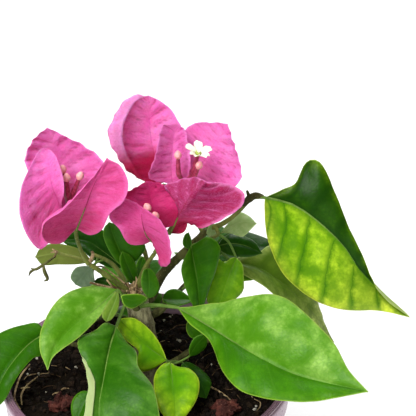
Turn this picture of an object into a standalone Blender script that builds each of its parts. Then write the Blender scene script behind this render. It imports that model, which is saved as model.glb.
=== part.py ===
"""A young potted bougainvillea: plastic nursery pot, potting mix, pruned trunk,
boughs, leafy shoots and clusters of papery bracts with their small flowers.

Metres, +Z up.  The origin is the centre of the pot's flat underside.
The sizes below are in millimetres and degrees, and MM turns them into metres.
"""
import math
import random

import bmesh
import bpy
import numpy as np

MM = 0.001
GAP = 0.3                     # clearance between neighbouring solids

# ---------------------------------------------------------------- the pot
POT_HEIGHT = 105.0
RIM_RADIUS = 60.0             # outside of the lip: a 12 cm nursery pot
LIP_WIDTH = 3.8
LIP_DEPTH = 2.4
BAND_RADIUS = 59.2            # the thicker band under the lip
BAND_HEIGHT = 13.5
SHOULDER_RADIUS = 56.4        # the wall just under the band
FOOT_RADIUS = 45.6
WALL = 1.3
FLOOR_THICK = 1.6
DRAIN_HOLES = 8
DRAIN_RING = 31.0
DRAIN_RADIUS = 4.0
POT_SEGMENTS = 40
SOIL_TOP = 97.0               # 8 mm below the rim

# ---------------------------------------------------------------- trunk and boughs
# each limb: its points (x, y, z), and its radius at each of them; bough_right grows from
# the trunk's side, and the other two boughs from its pruned top
LIMBS = {
    "trunk": ([(1.5, 2.5, 97.3), (1.5, 2.5, 98.6), (1.2, 2.2, 102), (0.4, 1.6, 109),
               (-0.8, 1.0, 119), (-2.2, 0.5, 129), (-3.6, 0, 137), (-4.4, -0.2, 141.5)],
              [8.2, 7.4, 6.2, 5.2, 4.8, 4.6, 4.6, 3.4]),
    "bough_right": ([(2.0, 4.9, 135.4), (5, 7.5, 141.4), (9, 9, 146.5), (15, 11, 152),
                     (20, 12.5, 156.5), (24.5, 13.5, 161)],
                    [2.2, 2.1, 1.9, 1.7, 1.5, 1.3]),
    "bough_middle": ([(-2.4, 1.4, 142.6), (-1, 1, 148), (1, 0, 153), (4, -0.5, 158)],
                     [1.3, 1.1, 0.9, 0.8]),
    "bough_left": ([(-6.9, -1.8, 141.8), (-11, -4, 147), (-16, -6.5, 153), (-20.5, -8.5, 157.5)],
                   [1.3, 1.1, 1.0, 0.9]),
}


# ---------------------------------------------------------------- leaves and bracts
def leaf(name, at, foot, turn, rise, roll, long, wide, fold=18, cup=0, arch=25, sweep=0,
         twist=0, skew=0.0, belly=0.66, point=0.6, blunt=0.75, cord=0.0, wave=0.0):
    """One blade: where its stalk leaves its twig (twig number, 0 to 1 along it), the
    foot of the blade, its compass turn, rise above level and roll, its length and width."""
    return dict(name=name, at=at, foot=foot, turn=turn, rise=rise, roll=roll, long=long,
                wide=wide, fold=fold, cup=cup, arch=arch, sweep=sweep, twist=twist,
                skew=skew, belly=belly, point=point, blunt=blunt, cord=cord, wave=wave)


def bract(name, at, foot, turn, rise, roll, long, wide, **more):
    """A bract is a papery leaf with a heart-shaped base and a blunt tip."""
    shape = dict(fold=12, cup=35, arch=10, belly=0.78, point=0.55, blunt=0.5, cord=0.12,
                 wave=0.06)
    shape.update(more)
    return leaf(name, at, foot, turn, rise, roll, long, wide, **shape)


def turned(turn, rise, roll):
    """Rotation whose X runs along the blade, Y across it and Z off its upper face."""
    a, b, c = (math.radians(value) for value in (turn, -rise, roll))
    about_z = np.array([[math.cos(a), -math.sin(a), 0], [math.sin(a), math.cos(a), 0], [0, 0, 1]])
    about_y = np.array([[math.cos(b), 0, math.sin(b)], [0, 1, 0], [-math.sin(b), 0, math.cos(b)]])
    about_x = np.array([[1, 0, 0], [0, math.cos(c), -math.sin(c)], [0, math.sin(c), math.cos(c)]])
    return about_z @ about_y @ about_x


def drawn(name, at, rib, left, right, bulge=(0, 0), **more):
    """A blade with folds of its own: its midrib from foot to tip, the rims to its left and
    right between those two points, and how far each half is puffed up (or, below 0, cupped)
    as a share of its width."""
    halves = [max(min(math.dist(point, place) for place in rib) for point in rim)
              for rim in (left, right)]
    row = leaf(name, at, rib[0], 0, 0, 0, length(rib), 2 * max(halves), **more)
    row.update(rib=rib, left=[rib[0], *left, rib[-1]], right=[rib[0], *right, rib[-1]],
               bulge=bulge)
    return row


def length(points):
    """Length of the straight steps through some points."""
    return sum(math.dist(a, b) for a, b in zip(points, points[1:]))


def on_line(points, u):
    """The place at share u (0 to 1) of a smooth line through points."""
    points = np.array(points, float)
    marks = np.concatenate([[0], np.cumsum(np.linalg.norm(np.diff(points, axis=0), axis=1))])
    marks /= marks[-1]
    ends = np.concatenate([[2 * points[0] - points[1]], points, [2 * points[-1] - points[-2]]])
    slopes = (ends[2:] - ends[:-2]) / np.gradient(marks)[:, None] / 2
    first = np.clip(np.searchsorted(marks, u, side="right") - 1, 0, len(marks) - 2)
    span = marks[first + 1] - marks[first]
    t, span = ((u - marks[first]) / span)[..., None], span[..., None]
    return ((2 * t ** 3 - 3 * t ** 2 + 1) * points[first] + (t ** 3 - 2 * t ** 2 + t) * span
            * slopes[first] + (3 * t ** 2 - 2 * t ** 3) * points[first + 1]
            + (t ** 3 - t ** 2) * span * slopes[first + 1])


NARROWEST = 0.7               # half-width of a blade at its foot and tip
FLAT_BELOW = 3.0              # narrower than this to a side, a blade folds less


def blade_point(row, rib, u, v):
    """A point of the blade at u along its midrib (0 to 1) and v across it (-1 to 1)."""
    place, along, side, normal = rib(u)
    if "rib" in row:
        place = on_line(row["rib"], u)
        rim = on_line(row["left"] if v > 0 else row["right"], u)
        half, across = np.linalg.norm(rim - place), abs(v)
        lift = 4 * row["bulge"][0 if v > 0 else 1] * half * across * (1 - across)
        wider = v * max(0, NARROWEST - half)
        return place + (rim - place) * across + normal * lift + side * wider
    spread = math.sin(math.pi * min(max(u, 0.0001), 0.999) ** row["belly"])
    spread = spread ** (row["blunt"] + row["point"] * u)
    half = 0.5 * row["wide"] * (1 + row["skew"] * (1 if v > 0 else -1)) * spread
    half = max(half, NARROWEST)
    ease = min(1.0, half / FLAT_BELOW)
    fold, cup = math.radians(row["fold"]) * ease, math.radians(row["cup"]) * ease
    across = abs(v)
    if abs(cup) < 0.01:
        out, lift = across * math.cos(fold), across * math.sin(fold)
    else:
        out = (math.sin(fold + cup * across) - math.sin(fold)) / cup
        lift = (math.cos(fold) - math.cos(fold + cup * across)) / cup
    lift += row["wave"] * across ** 2 * math.sin(2 * math.pi * (2.5 * u + 0.25 * (v > 0)))
    back = row["cord"] * row["long"] * across * (1 - u) ** 4
    return place + side * (math.copysign(out, v) * half) + normal * (lift * half) - along * back


def ruled_midrib(row, steps):
    """Places and frames along the midrib of a blade given by its turn, rise and arch."""
    frame = turned(row["turn"], row["rise"], row["roll"])
    places, frames = [np.array(row["foot"], float)], []
    for step in range(steps + 1):
        u = step / steps
        bend = turned(row["sweep"] * u, -row["arch"] * u, row["twist"] * u)
        frames.append(frame @ bend)
        if step < steps:
            places.append(places[-1] + frames[-1][:, 0] * (row["long"] / steps))
    return places, frames


def drawn_midrib(row, steps):
    """Places and frames along the midrib of a blade given by its lines."""
    even = np.linspace(0, 1, steps + 1)
    places = on_line(row["rib"], even)
    along = np.gradient(places, axis=0)
    along /= np.linalg.norm(along, axis=1, keepdims=True)
    side = on_line(row["left"], even) - on_line(row["right"], even)
    side[0], side[-1] = side[1], side[-2]
    side -= along * (side * along).sum(1, keepdims=True)
    side /= np.linalg.norm(side, axis=1, keepdims=True)
    return places, np.stack([along, side, np.cross(along, side)], -1)


def midrib(row, steps=24):
    """The midrib as a function of u: its place, its direction, its side and its normal."""
    places, frames = (drawn_midrib if "rib" in row else ruled_midrib)(row, steps)

    def at(u):
        spot = min(max(u, 0.0), 1.0) * steps
        low = min(int(spot), steps - 1)
        part = spot - low
        mixed = frames[low] * (1 - part) + frames[low + 1] * part
        place = places[low] * (1 - part) + places[low + 1] * part
        return place, mixed[:, 0], mixed[:, 1], mixed[:, 2]
    return at


# ---------------------------------------------------------------- the masses of foliage
# twigs: points and radii; the first is the mass's stem.  leaves: rows.  limb: the limb
# whose side the stem grows from; a mass without one grows on from a bough's tip, or
# from the soil.
MASSES = {
    "front_leaves": dict(
        limb="trunk",
        twigs=[([(-3.2, -7.0, 137.4), (-4.4, -8.8, 139.5), (-8, -9.5, 141)],
                [1.7, 1.3, 0.8])],
        leaves=[
            drawn("G", (0, 0.1), bulge=(0.08, 0.08),
                  rib=[(13, -5.5, 136.5), (23.5, -14, 134.5), (34.5, -23, 132),
                       (45.5, -33, 130.5), (59.5, -40, 127.5), (84, -49.5, 127)],
                  left=[(18, -7.5, 138), (28, -10, 141), (37.5, -11.5, 144.5), (50, -15, 148),
                        (56.5, -18.5, 147.5), (65, -27, 143.5), (72.5, -34, 138),
                        (77.5, -42.5, 131.5)],
                  right=[(18, -13, 133.5), (25, -20.5, 131.5), (28, -27.5, 128.5),
                         (31, -36.5, 126.5), (37, -45, 124.5), (46.5, -47.5, 122.5),
                         (56, -50.5, 123), (63.5, -51, 123.5), (70.5, -50.5, 124.5)]),
            drawn("H", (0, 1), bulge=(0.05, 0.12),
                  rib=[(-10.5, -5.5, 145), (-18.5, -12, 140), (-27, -19, 136),
                       (-33, -25.5, 131.5), (-36, -33, 125.5)],
                  left=[(-12.5, -9, 142.5), (-17, -15, 138), (-24, -23, 134.5),
                        (-30.5, -28, 131.5), (-34, -31, 129.5)],
                  right=[(-14.5, -4.5, 145), (-21.5, -5, 146), (-29, -8, 145.5),
                         (-35, -14, 142.5), (-39, -21.5, 137), (-39, -27.5, 131)]),
            drawn("I", (0, 0.9), bulge=(0.08, 0.10),
                  rib=[(-11, -11.5, 131.5), (-13, -21.5, 128), (-14.5, -36, 123),
                       (-15.5, -47.5, 117.5), (-13, -62, 103.5)],
                  left=[(-7.5, -17.5, 129.5), (-2.5, -24.5, 128), (-1.5, -31, 125.5),
                        (4, -40.5, 123.5), (6.5, -48, 119.5), (7, -53.5, 112.5),
                        (0, -61.5, 106)],
                  right=[(-15, -13, 134), (-19, -16.5, 132.5), (-24.5, -21, 133),
                         (-25, -25.5, 131), (-22, -31.5, 126), (-20, -41.5, 122),
                         (-21, -50, 116.5), (-22, -55, 109.5)]),
            drawn("S", (0, 0.1), rib=[(1.5, -7.5, 142), (2, -7, 148), (1.5, -5, 154)],
                  left=[(-0.5, -8, 146), (-1, -8, 150.5), (0, -6.5, 154)],
                  right=[(4, -7, 142.5), (6, -6, 145.5), (5, -5, 150), (3, -5, 153.5)]),
            drawn("T", (0, 0.1),
                  rib=[(1.5, -8, 142.5), (-1.5, -10, 143), (-5, -12.5, 144), (-8.5, -14, 146.5)],
                  left=[(-1, -10, 141), (-4.5, -13, 140.5), (-7.5, -14.5, 143)],
                  right=[(-1.5, -9.5, 145), (-5.5, -12, 146.5), (-8, -13.5, 147)]),
            drawn("U", (0, 1),
                  rib=[(-10, -9, 146.5), (-11, -10.5, 143), (-13, -13, 139), (-14.5, -15.5, 136)],
                  left=[(-9.5, -10, 143.5), (-10, -12, 139.5), (-12.5, -14.5, 136.5)],
                  right=[(-13.5, -11, 143), (-16, -14, 139.5), (-16, -15.5, 138)]),
        ]),
    "right_leaves": dict(
        twigs=[([(24.9, 13.6, 161.6), (31, 13.8, 164), (37, 14, 169), (42, 13.5, 175),
                 (46, 12.5, 176.5)], [1.3, 1.0, 0.8, 0.8, 0.7]),
               ([(28, 13.7, 162.8), (29, 10, 161), (25, 7, 160.5), (20.5, 6, 158.8)],
                [0.8, 0.7, 0.7, 0.6])],
        leaves=[
            drawn("A", (0, 1), bulge=(0.05, 0.08),
                  rib=[(47.5, 12, 176.5), (58.5, 12, 173.5), (69, 10.5, 166.5), (79, 6, 158),
                       (86.5, 2.5, 148), (106.5, 0, 128.5)],
                  left=[(54, 16, 178), (59.5, 20, 179), (65, 24, 187), (69.5, 22, 187.5),
                        (75, 17, 178.5), (81.5, 9, 164.5), (88, 2, 152), (92.5, -4, 143)],
                  right=[(47.5, 11, 172), (49, 8, 160), (54, 3, 149), (62, -1, 141.5),
                         (70, -3, 137), (81.5, -4, 134), (95, -2, 132.5)]),
            drawn("B", (0, 0.05), bulge=(0.08, 0.08),
                  rib=[(35, 20.5, 142.5), (46, 24, 138), (57.5, 24, 130), (67.5, 22, 120.5),
                       (80, 26.5, 99.5)],
                  left=[(39.5, 26, 142.5), (46, 29, 142.5), (51.5, 34, 143.5),
                        (60, 36.5, 139.5), (69.5, 30, 125), (76, 26.5, 107)],
                  right=[(39.5, 17, 139), (46, 17, 135), (53.5, 14.5, 129.5),
                         (64, 18.5, 115)]),
            drawn("C", (0, 0.15), bulge=(0.1, 0.1),
                  rib=[(29, 19, 151), (34, 18.5, 152.5), (40.5, 19.5, 151), (47.5, 20, 147)],
                  left=[(31, 22, 153), (35.5, 25, 154), (41, 24, 152.5), (44.5, 23.5, 150.5)],
                  right=[(31.5, 16, 149.5), (37, 15.5, 148), (42.5, 17, 147)]),
            drawn("D", (0, 0.15),
                  rib=[(30, 18, 157.5), (35, 17, 161.5), (39.5, 15, 164.5), (44.5, 13, 164.5)],
                  left=[(33, 20, 160.5), (37.5, 22, 165), (41.5, 18, 165.5)],
                  right=[(34, 15, 159), (39, 11, 159.5), (42, 11, 162.5)]),
            drawn("D2", (0, 0.05), rib=[(26, 12, 158.5), (26.5, 12.5, 161.5), (27, 14, 164.5)],
                  left=[(24.5, 11, 161), (25.5, 12, 164)],
                  right=[(28, 13, 159.5), (28.5, 14, 162)]),
            drawn("W", (1, 1), rib=[(18, 8, 155), (16.5, 7, 159.5), (17.5, 9, 162.5)],
                  left=[(15.5, 6.5, 157.5), (15, 6, 160), (16, 7.5, 162.5)],
                  right=[(18.5, 8, 157), (18.5, 8.5, 159.5)]),
            drawn("E", (1, 1), bulge=(0.1, 0.1),
                  rib=[(18.5, 6, 158), (19.5, 3, 152.5), (21, -1.5, 145), (22, -5.5, 131.5)],
                  left=[(22, 5, 161), (25, 4.5, 163), (28.5, 3.5, 161.5), (30, 2, 159),
                        (28.5, -0.5, 151.5), (25.5, -2.5, 143)],
                  right=[(17, 4, 156.5), (14.5, 0, 151.5), (15.5, -3, 146.5),
                         (18, -5, 139.5)]),
            drawn("F", (1, 0.3), bulge=(0.1, 0.1),
                  rib=[(36.5, 12, 149.5), (34.5, 9, 145.5), (32.5, 6, 140.5), (28.5, 1.5, 130)],
                  left=[(39, 10, 147.5), (39.5, 7.5, 143.5), (39, 4.5, 137.5)],
                  right=[(34.5, 11, 150), (32, 10, 148.5), (29.5, 9, 150.5), (28, 8, 146.5),
                         (26.5, 6.5, 143), (24.5, 3, 135)]),
        ]),
    "low_shoot": dict(
        twigs=[([(9, -7.5, 97.4), (8.5, -9, 106), (8, -10, 114)], [1.3, 1.0, 0.8])],
        leaves=[
            drawn("J", (0, 0.95), bulge=(0.08, 0.08),
                  rib=[(8.5, -10.5, 115), (2, -9, 119.5), (-4, -7, 124.5), (-10.5, -5, 131)],
                  left=[(2.5, -13, 112), (-3, -14, 112), (-3.5, -12.5, 115.5),
                        (-2.5, -10, 118.5), (-7.5, -8, 122.5), (-11, -6, 126.5)],
                  right=[(7.5, -9.5, 118), (4.5, -7.5, 123.5), (0.5, -6, 128),
                         (-4.5, -6, 132)]),
            drawn("K", (0, 1), bulge=(0.08, 0.08),
                  rib=[(10, -10, 113.5), (11, -18, 110.5), (12, -28, 107), (12.5, -37, 102)],
                  left=[(12.5, -12, 113), (18, -15, 113.5), (21.5, -20, 112), (21, -26, 108),
                        (17, -32, 104)],
                  right=[(7, -12, 114), (4, -18, 113), (4, -25, 110.5), (6.5, -32, 105.5)]),
            drawn("L1", (0, 0.9), rib=[(17.5, -2, 111), (20, -2, 116), (24.5, -1, 121.5)],
                  left=[(17.5, -2.5, 116), (20, -2, 120.5)],
                  right=[(21, -1, 111.5), (24.5, 0, 115)]),
            drawn("L2", (0, 0.9),
                  rib=[(14.5, -3, 109), (18, -7, 108), (22, -12, 105.5), (24.5, -17, 101)],
                  left=[(17.5, -3, 109), (23, -5, 106.5), (26.5, -10, 104)],
                  right=[(14, -9, 108), (16.5, -14, 105), (20.5, -18, 103)]),
        ]),
    "left_leaves": dict(
        limb="trunk",
        twigs=[([(-7.4, 0.5, 104), (-14, -2, 110), (-26, -2, 116), (-36, -3, 118.5)],
                [1.5, 1.2, 1.0, 0.8])],
        leaves=[
            drawn("M", (0, 1), bulge=(0.08, 0.1),
                  rib=[(-40, -4, 123.5), (-45.5, -8, 122), (-51, -15, 119), (-56, -22, 113.5),
                       (-60, -27, 102.5)],
                  left=[(-40.5, -8, 120), (-41.5, -12, 118), (-44, -15, 119), (-49.5, -22, 115),
                        (-55, -27, 106.5)],
                  right=[(-43.5, -2, 127), (-48.5, -3, 127), (-55, -5, 126), (-62.5, -9, 123.5),
                         (-66.5, -16, 118.5), (-65.5, -23, 110)]),
            leaf("N", (0, 0.2), (-20.5, -28, 112), -120, -30, 0, 16, 10),
        ]),
    "back_left_leaves": dict(
        limb="trunk",
        twigs=[([(-7.5, 4.5, 136), (-9, 9, 140), (-14, 13, 146), (-22, 16, 149)],
                [1.4, 1.1, 0.9, 0.7])],
        leaves=[
            drawn("O", (0, 1), bulge=(0.1, 0.1),
                  rib=[(-22, 13, 147), (-30, 15.5, 148.5), (-38, 19, 147.5),
                       (-46.5, 22.5, 144)],
                  left=[(-26, 15, 151), (-34, 18.5, 152), (-39.5, 20, 151.5),
                        (-44.5, 22, 148)],
                  right=[(-28, 12.5, 146), (-36.5, 15, 144.5), (-43.5, 19.5, 142)]),
            drawn("P", (0, 0.3), bulge=(0.1, 0.1),
                  rib=[(-9.5, 17, 142), (-17.5, 20, 147.5), (-25.5, 23, 151.5),
                       (-36, 24.5, 151)],
                  left=[(-14.5, 16.5, 142), (-21.5, 17.5, 145), (-27.5, 20.5, 148.5),
                        (-32.5, 22, 149.5)],
                  right=[(-10, 18.5, 146.5), (-15, 22, 152.5), (-19.5, 23.5, 157),
                         (-27.5, 24, 157.5)]),
            drawn("P2", (0, 0.2), bulge=(0.1, 0.1),
                  rib=[(-7.5, 7, 147.5), (-10, 8, 154), (-12.5, 9, 160.5), (-14, 8, 167.5)],
                  left=[(-11, 6, 150.5), (-14.5, 6.5, 156), (-16.5, 7, 162), (-16, 7.5, 165.5)],
                  right=[(-3.5, 9, 150), (0, 10, 155), (-2, 11, 159), (-8.5, 10, 165)]),
            drawn("R", (0, 0.1),
                  rib=[(-4, 5, 141.5), (-6, 4.5, 147.5), (-7.5, 4.5, 151.5), (-9, 6, 155.5)],
                  left=[(-7, 2.5, 144.5), (-9.5, 2.5, 150), (-10, 4, 154)],
                  right=[(-3, 5.5, 144.5), (-3.5, 6, 149), (-6, 6.5, 153.5)]),
            drawn("R2", (0, 0.1),
                  rib=[(-3.5, 6.5, 141.5), (-2.5, 6.5, 145), (-2, 7, 148.5), (-1, 9, 151.5)],
                  left=[(-4.5, 5.5, 145), (-4, 5.5, 148.5), (-2.5, 7.5, 151.5)],
                  right=[(-1, 7, 143.5), (0, 8, 146.5), (0, 8.5, 150)]),
            drawn("Q", (0, 0.8),
                  rib=[(-22.5, 12, 145.5), (-24.5, 11.5, 143), (-26.5, 11, 140.5), (-29, 10, 138)],
                  left=[(-21, 9, 142.5), (-22, 8, 139), (-26, 8.5, 137.5)],
                  right=[(-26, 13, 145), (-29, 13, 144), (-31, 11.5, 140.5)]),
            drawn("Q2", (0, 0.9), rib=[(-22, 16, 136), (-19, 15, 137), (-14.5, 14, 136)],
                  left=[(-20.5, 17, 137), (-17, 16, 138)],
                  right=[(-20, 13.5, 135.5), (-17, 12.5, 135.5)]),
        ]),
    "back_bracts": dict(
        limb="bough_right",
        twigs=[([(22, 15.6, 161), (19, 24, 164), (15, 33, 168), (14, 36, 172)],
                [0.9, 0.8, 0.7, 0.8])],
        leaves=[
            bract("b_left", (0, 0.97), (13, 36, 172), 175, 40, 0, 30, 28),
            bract("b_right", (0, 0.97), (15, 36, 172), 20, 42, 0, 25, 26),
            bract("b_back", (0, 0.97), (14, 37, 172), 95, 15, 0, 30, 29),
        ]),
    "left_bracts": dict(
        twigs=[([(-21, -8.8, 158), (-22.5, -9.5, 161), (-24.5, -12, 170), (-25, -12.5, 175.5),
                 (-26.5, -11.5, 181)], [0.9, 0.7, 0.7, 0.9, 1.1])],
        leaves=[
            drawn("front", (0, 0.75), bulge=(0.15, 0.12),
                  rib=[(-24.5, -13, 175.5), (-22, -17, 182.5), (-19.5, -19, 189),
                       (-17, -19, 195.5), (-11.5, -17, 206.5)],
                  left=[(-19, -18, 175.5), (-13.5, -22, 180), (-10.5, -24, 188),
                        (-5.5, -24, 193.5), (-4, -21, 198.5), (-7, -18, 204.5)],
                  right=[(-29.5, -19, 172.5), (-35.5, -24, 176.5), (-35.5, -26, 184.5),
                         (-28.5, -26, 190), (-22.5, -24, 194.5), (-17, -20, 200.5)]),
            drawn("left", (0, 1), bulge=(-0.15, -0.1),
                  rib=[(-29, -13, 182.5), (-31, -14, 189), (-32.5, -15, 195.5),
                       (-33, -14, 201.5), (-32.5, -12, 207.5)],
                  left=[(-31.5, -18, 177), (-37, -22, 171.5), (-41.5, -24, 177.5),
                        (-43.5, -24, 188), (-42, -21, 197), (-38, -16, 205), (-35.5, -13, 208.5)],
                  right=[(-28.5, -17, 188.5), (-27.5, -19, 194.5), (-28.5, -18, 201),
                         (-30, -15, 205.5)]),
            drawn("back", (0, 1), bulge=(-0.15, -0.15),
                  rib=[(-28.5, -11, 181.5), (-28.5, -5, 191.5), (-30.5, -2, 197.5),
                       (-32.5, -1, 204.5), (-34.5, -3, 212.5)],
                  left=[(-33.5, -10, 188), (-39.5, -11, 195.5), (-42.5, -9, 201.5),
                        (-40, -5, 208)],
                  right=[(-18.5, -9, 187.5), (-12.5, -9, 195), (-14, -6, 200.5),
                         (-22, -3, 206.5), (-29.5, -2, 209.5)]),
        ]),
    "right_bracts": dict(
        twigs=[([(4.3, -0.6, 158.6), (7, -1, 164), (11, -0.5, 170), (14, 0, 177),
                 (15.5, 0, 184), (16, 0, 188)], [0.9, 0.8, 0.8, 0.8, 0.8, 1.1]),
               ([(7, -1, 164), (8, -7, 168), (8.5, -12, 172), (8.5, -13, 174.5)],
                [0.7, 0.6, 0.7, 1.1]),
               ([(14, 0, 177), (11, 4, 181), (8, 6, 185)], [0.7, 0.6, 0.7])],
        leaves=[
            drawn("top", (2, 1), bulge=(-0.12, -0.12),
                  rib=[(5, 8, 183.5), (4.5, 13, 192.5), (3, 16, 199.5), (2.5, 16, 208.5),
                       (2.5, 13, 219)],
                  left=[(0, 5, 187), (-6.5, 3, 193.5), (-11, 2, 202.5), (-11.5, 4, 209.5),
                        (-8.5, 8, 215), (-4, 10, 219.5)],
                  right=[(11, 6, 188), (17, 6, 199.5), (15.5, 9, 207.5), (11.5, 12, 213),
                         (6.5, 13, 217.5)]),
            drawn("r_back", (0, 1), bulge=(-0.12, -0.12),
                  rib=[(18.5, 0, 189.5), (23, 5, 194.5), (26.5, 8, 200), (29.5, 9, 204.5),
                       (32.5, 8, 209.5)],
                  left=[(13.5, 4, 191.5), (14.5, 10, 198), (16.5, 12, 205.5), (21, 12, 208.5),
                        (26.5, 11, 209)],
                  right=[(30.5, -6, 187.5), (37, -6, 192.5), (36, -2, 201), (34, 3, 205)]),
            drawn("r_left", (0, 0.9), bulge=(-0.1, -0.15),
                  rib=[(11.5, 0, 188), (11, 4, 193), (11.5, 6, 199.5), (12, 6, 205.5),
                       (13, 5, 210.5)],
                  left=[(2.5, -4, 192.5), (5.5, -2, 200), (7, 1, 206), (8, 3, 210.5)],
                  right=[(16.5, -1, 190), (18.5, 0, 196), (18, 2, 203.5), (16.5, 4, 209)]),
            drawn("r_front", (1, 1), bulge=(0.15, 0.0),
                  rib=[(11, -14, 174), (13.5, -20, 182), (16, -24, 189.5), (19, -24, 194.5),
                       (24.5, -17, 197)],
                  left=[(16, -20, 177.5), (18.5, -22, 183), (22, -27, 182.5), (29, -27, 186),
                        (37, -22, 188.5), (38.5, -18, 192.5), (33, -16, 195.5)],
                  right=[(12, -18, 179.5), (15.5, -20, 189), (16, -16, 190.5), (8, -8, 191.5),
                         (15.5, -8, 194.5), (20.5, -11, 196)]),
            drawn("m_back", (1, 1), bulge=(-0.1, -0.1),
                  rib=[(7.5, -12, 175), (5, -8, 179.5), (3.5, -6, 183), (3, -5, 187),
                       (2, -6, 192)],
                  left=[(0.5, -12, 181.5), (-6, -13, 186.5), (-7.5, -12, 189), (-4, -9, 190)],
                  right=[(12.5, -12, 177), (17.5, -12, 186), (17, -9, 188), (8, -7, 191.5)]),
            drawn("m_left", (1, 0.95), bulge=(0.1, 0.15),
                  rib=[(4, -15, 171.5), (2, -19, 177), (1, -21, 183), (0.5, -20, 187),
                       (-1.5, -17, 188.5)],
                  left=[(6.5, -19, 169.5), (7, -22, 164.5), (10.5, -23, 165.5),
                        (11.5, -24, 174), (9.5, -24, 181.5), (4, -21, 186)],
                  right=[(0.5, -19, 172), (-4.5, -21, 173.5), (-8, -20, 179.5),
                         (-11.5, -17, 181.5), (-11, -15, 185.5), (-7, -14, 188.5)]),
        ]),
}

# the narrow tubes inside the bracts: where each leaves its twig, a bend, its tip, and
# whether the small white flower at the tip is open
BLOSSOM = {
    "left_bracts": [((0, 1), (-28, -12, 191), (-28.5, -11.5, 200), False),
                    ((0, 1), (-27, -13, 190), (-27, -13.5, 197.5), False),
                    ((0, 1), (-25, -12, 190), (-22, -12, 197.5), False)],
    "right_bracts": [((0, 1), (19.5, -3, 194), (21.5, -5, 203.5), True),
                     ((0, 1), (14, -3, 194), (13.8, -3, 202), False),
                     ((0, 1), (19.5, -5, 192.5), (22, -7, 199.5), False),
                     ((1, 1), (6, -17, 180), (2.5, -18, 187.5), False),
                     ((1, 1), (7, -18, 179), (5.5, -19, 184.5), False)],
}
TUBE_RADIUS = 0.8
BUD_RADIUS = 1.3
FLOWER_RADIUS = 5.2
FLOWER_LOBES = 5

# ---------------------------------------------------------------- shoots round the sides and back
# Leaves alternate left and right along each stem.  space is the block that a mass keeps
# to, and a leaf that leaves it, or comes near another mass or a limb, is made shorter,
# turned a little, or left out.
OTHER_SHOOTS = {
    "right_low_leaves": dict(
        limb="trunk", seed=3, stem=([(9.2, 4.5, 103), (18, 7, 108), (28, 9, 113), (38, 10, 116)],
                      [1.6, 1.2, 1.0, 0.8]),
        count=6, long=38, space=((14, -14, 99), (66, 44, 132)), leaves=[]),
    "back_right_leaves": dict(
        limb="trunk", seed=11, stem=([(5.5, 6.5, 128), (12, 16, 130), (19, 28, 132), (24, 40, 133)],
                       [1.6, 1.2, 1.0, 0.8]),
        count=8, long=46, space=((8, 12, 98), (84, 84, 152)), leaves=[
            leaf("V", (0, 0.1), (6.5, 11, 130.5), 8, -4, 25, 14, 9, arch=10)]),
    "back_leaves": dict(
        limb="trunk", seed=5, stem=([(-1.5, 7.6, 116), (-4, 18, 118), (-7, 28, 118), (-9, 38, 117)],
                      [1.6, 1.2, 1.0, 0.8]),
        count=8, long=42, space=((-38, 10, 92), (12, 84, 128)), leaves=[]),
    "back_left_high": dict(
        limb="trunk", seed=8, stem=([(-0.2, 4.9, 140.5), (0.5, 12, 147), (-4, 22, 154), (-14, 31, 160)],
                      [1.3, 1.0, 0.9, 0.8]),
        count=7, long=38, space=((-40, 8, 128), (6, 84, 190)), leaves=[]),
}
BLADE_RATIO = 0.58            # width to length of an ordinary leaf
CLEARANCE = 4.5               # least distance between the masses' sample points
RIM_RINGS = [(57.5, 104), (60, 101), (59.5, 96), (58, 91)]


def along_twig(points, part):
    """The point a given part (0 to 1) of the way along a twig's points, and its heading."""
    points = [np.array(point, float) for point in points]
    spot = min(max(part, 0), 1) * (len(points) - 1)
    first = min(int(spot), len(points) - 2)
    step = points[first + 1] - points[first]
    return points[first] + step * (spot - first), math.degrees(math.atan2(step[1], step[0]))


def samples(row, rows=12, columns=3):
    """Points spread over a blade, to test it against its neighbours."""
    rib = midrib(row)
    return [blade_point(row, rib, u / rows, v / columns)
            for u in range(rows + 1) for v in range(-columns, columns + 1)]


def standing():
    """Points of everything placed so far: pot rim, limbs, twigs and blades."""
    points = [along_twig([(0, 0, height), (radius, 0, height)], 1)[0] @ turned(-turn, 0, 0)
              for turn in range(0, 360, 5) for radius, height in RIM_RINGS]
    for limb_points, _ in LIMBS.values():
        points += [along_twig(limb_points, part / 20)[0] for part in range(21)]
    for parts in MASSES.values():
        for twig_points, _ in parts["twigs"]:
            points += [along_twig(twig_points, part / 12)[0] for part in range(13)]
        for row in parts["leaves"]:
            points += samples(row)
            start, _ = along_twig(parts["twigs"][row["at"][0]][0], row["at"][1])
            points += [start + (np.array(row["foot"]) - start) * part / 6 for part in range(7)]
    return np.array(points)


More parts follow.
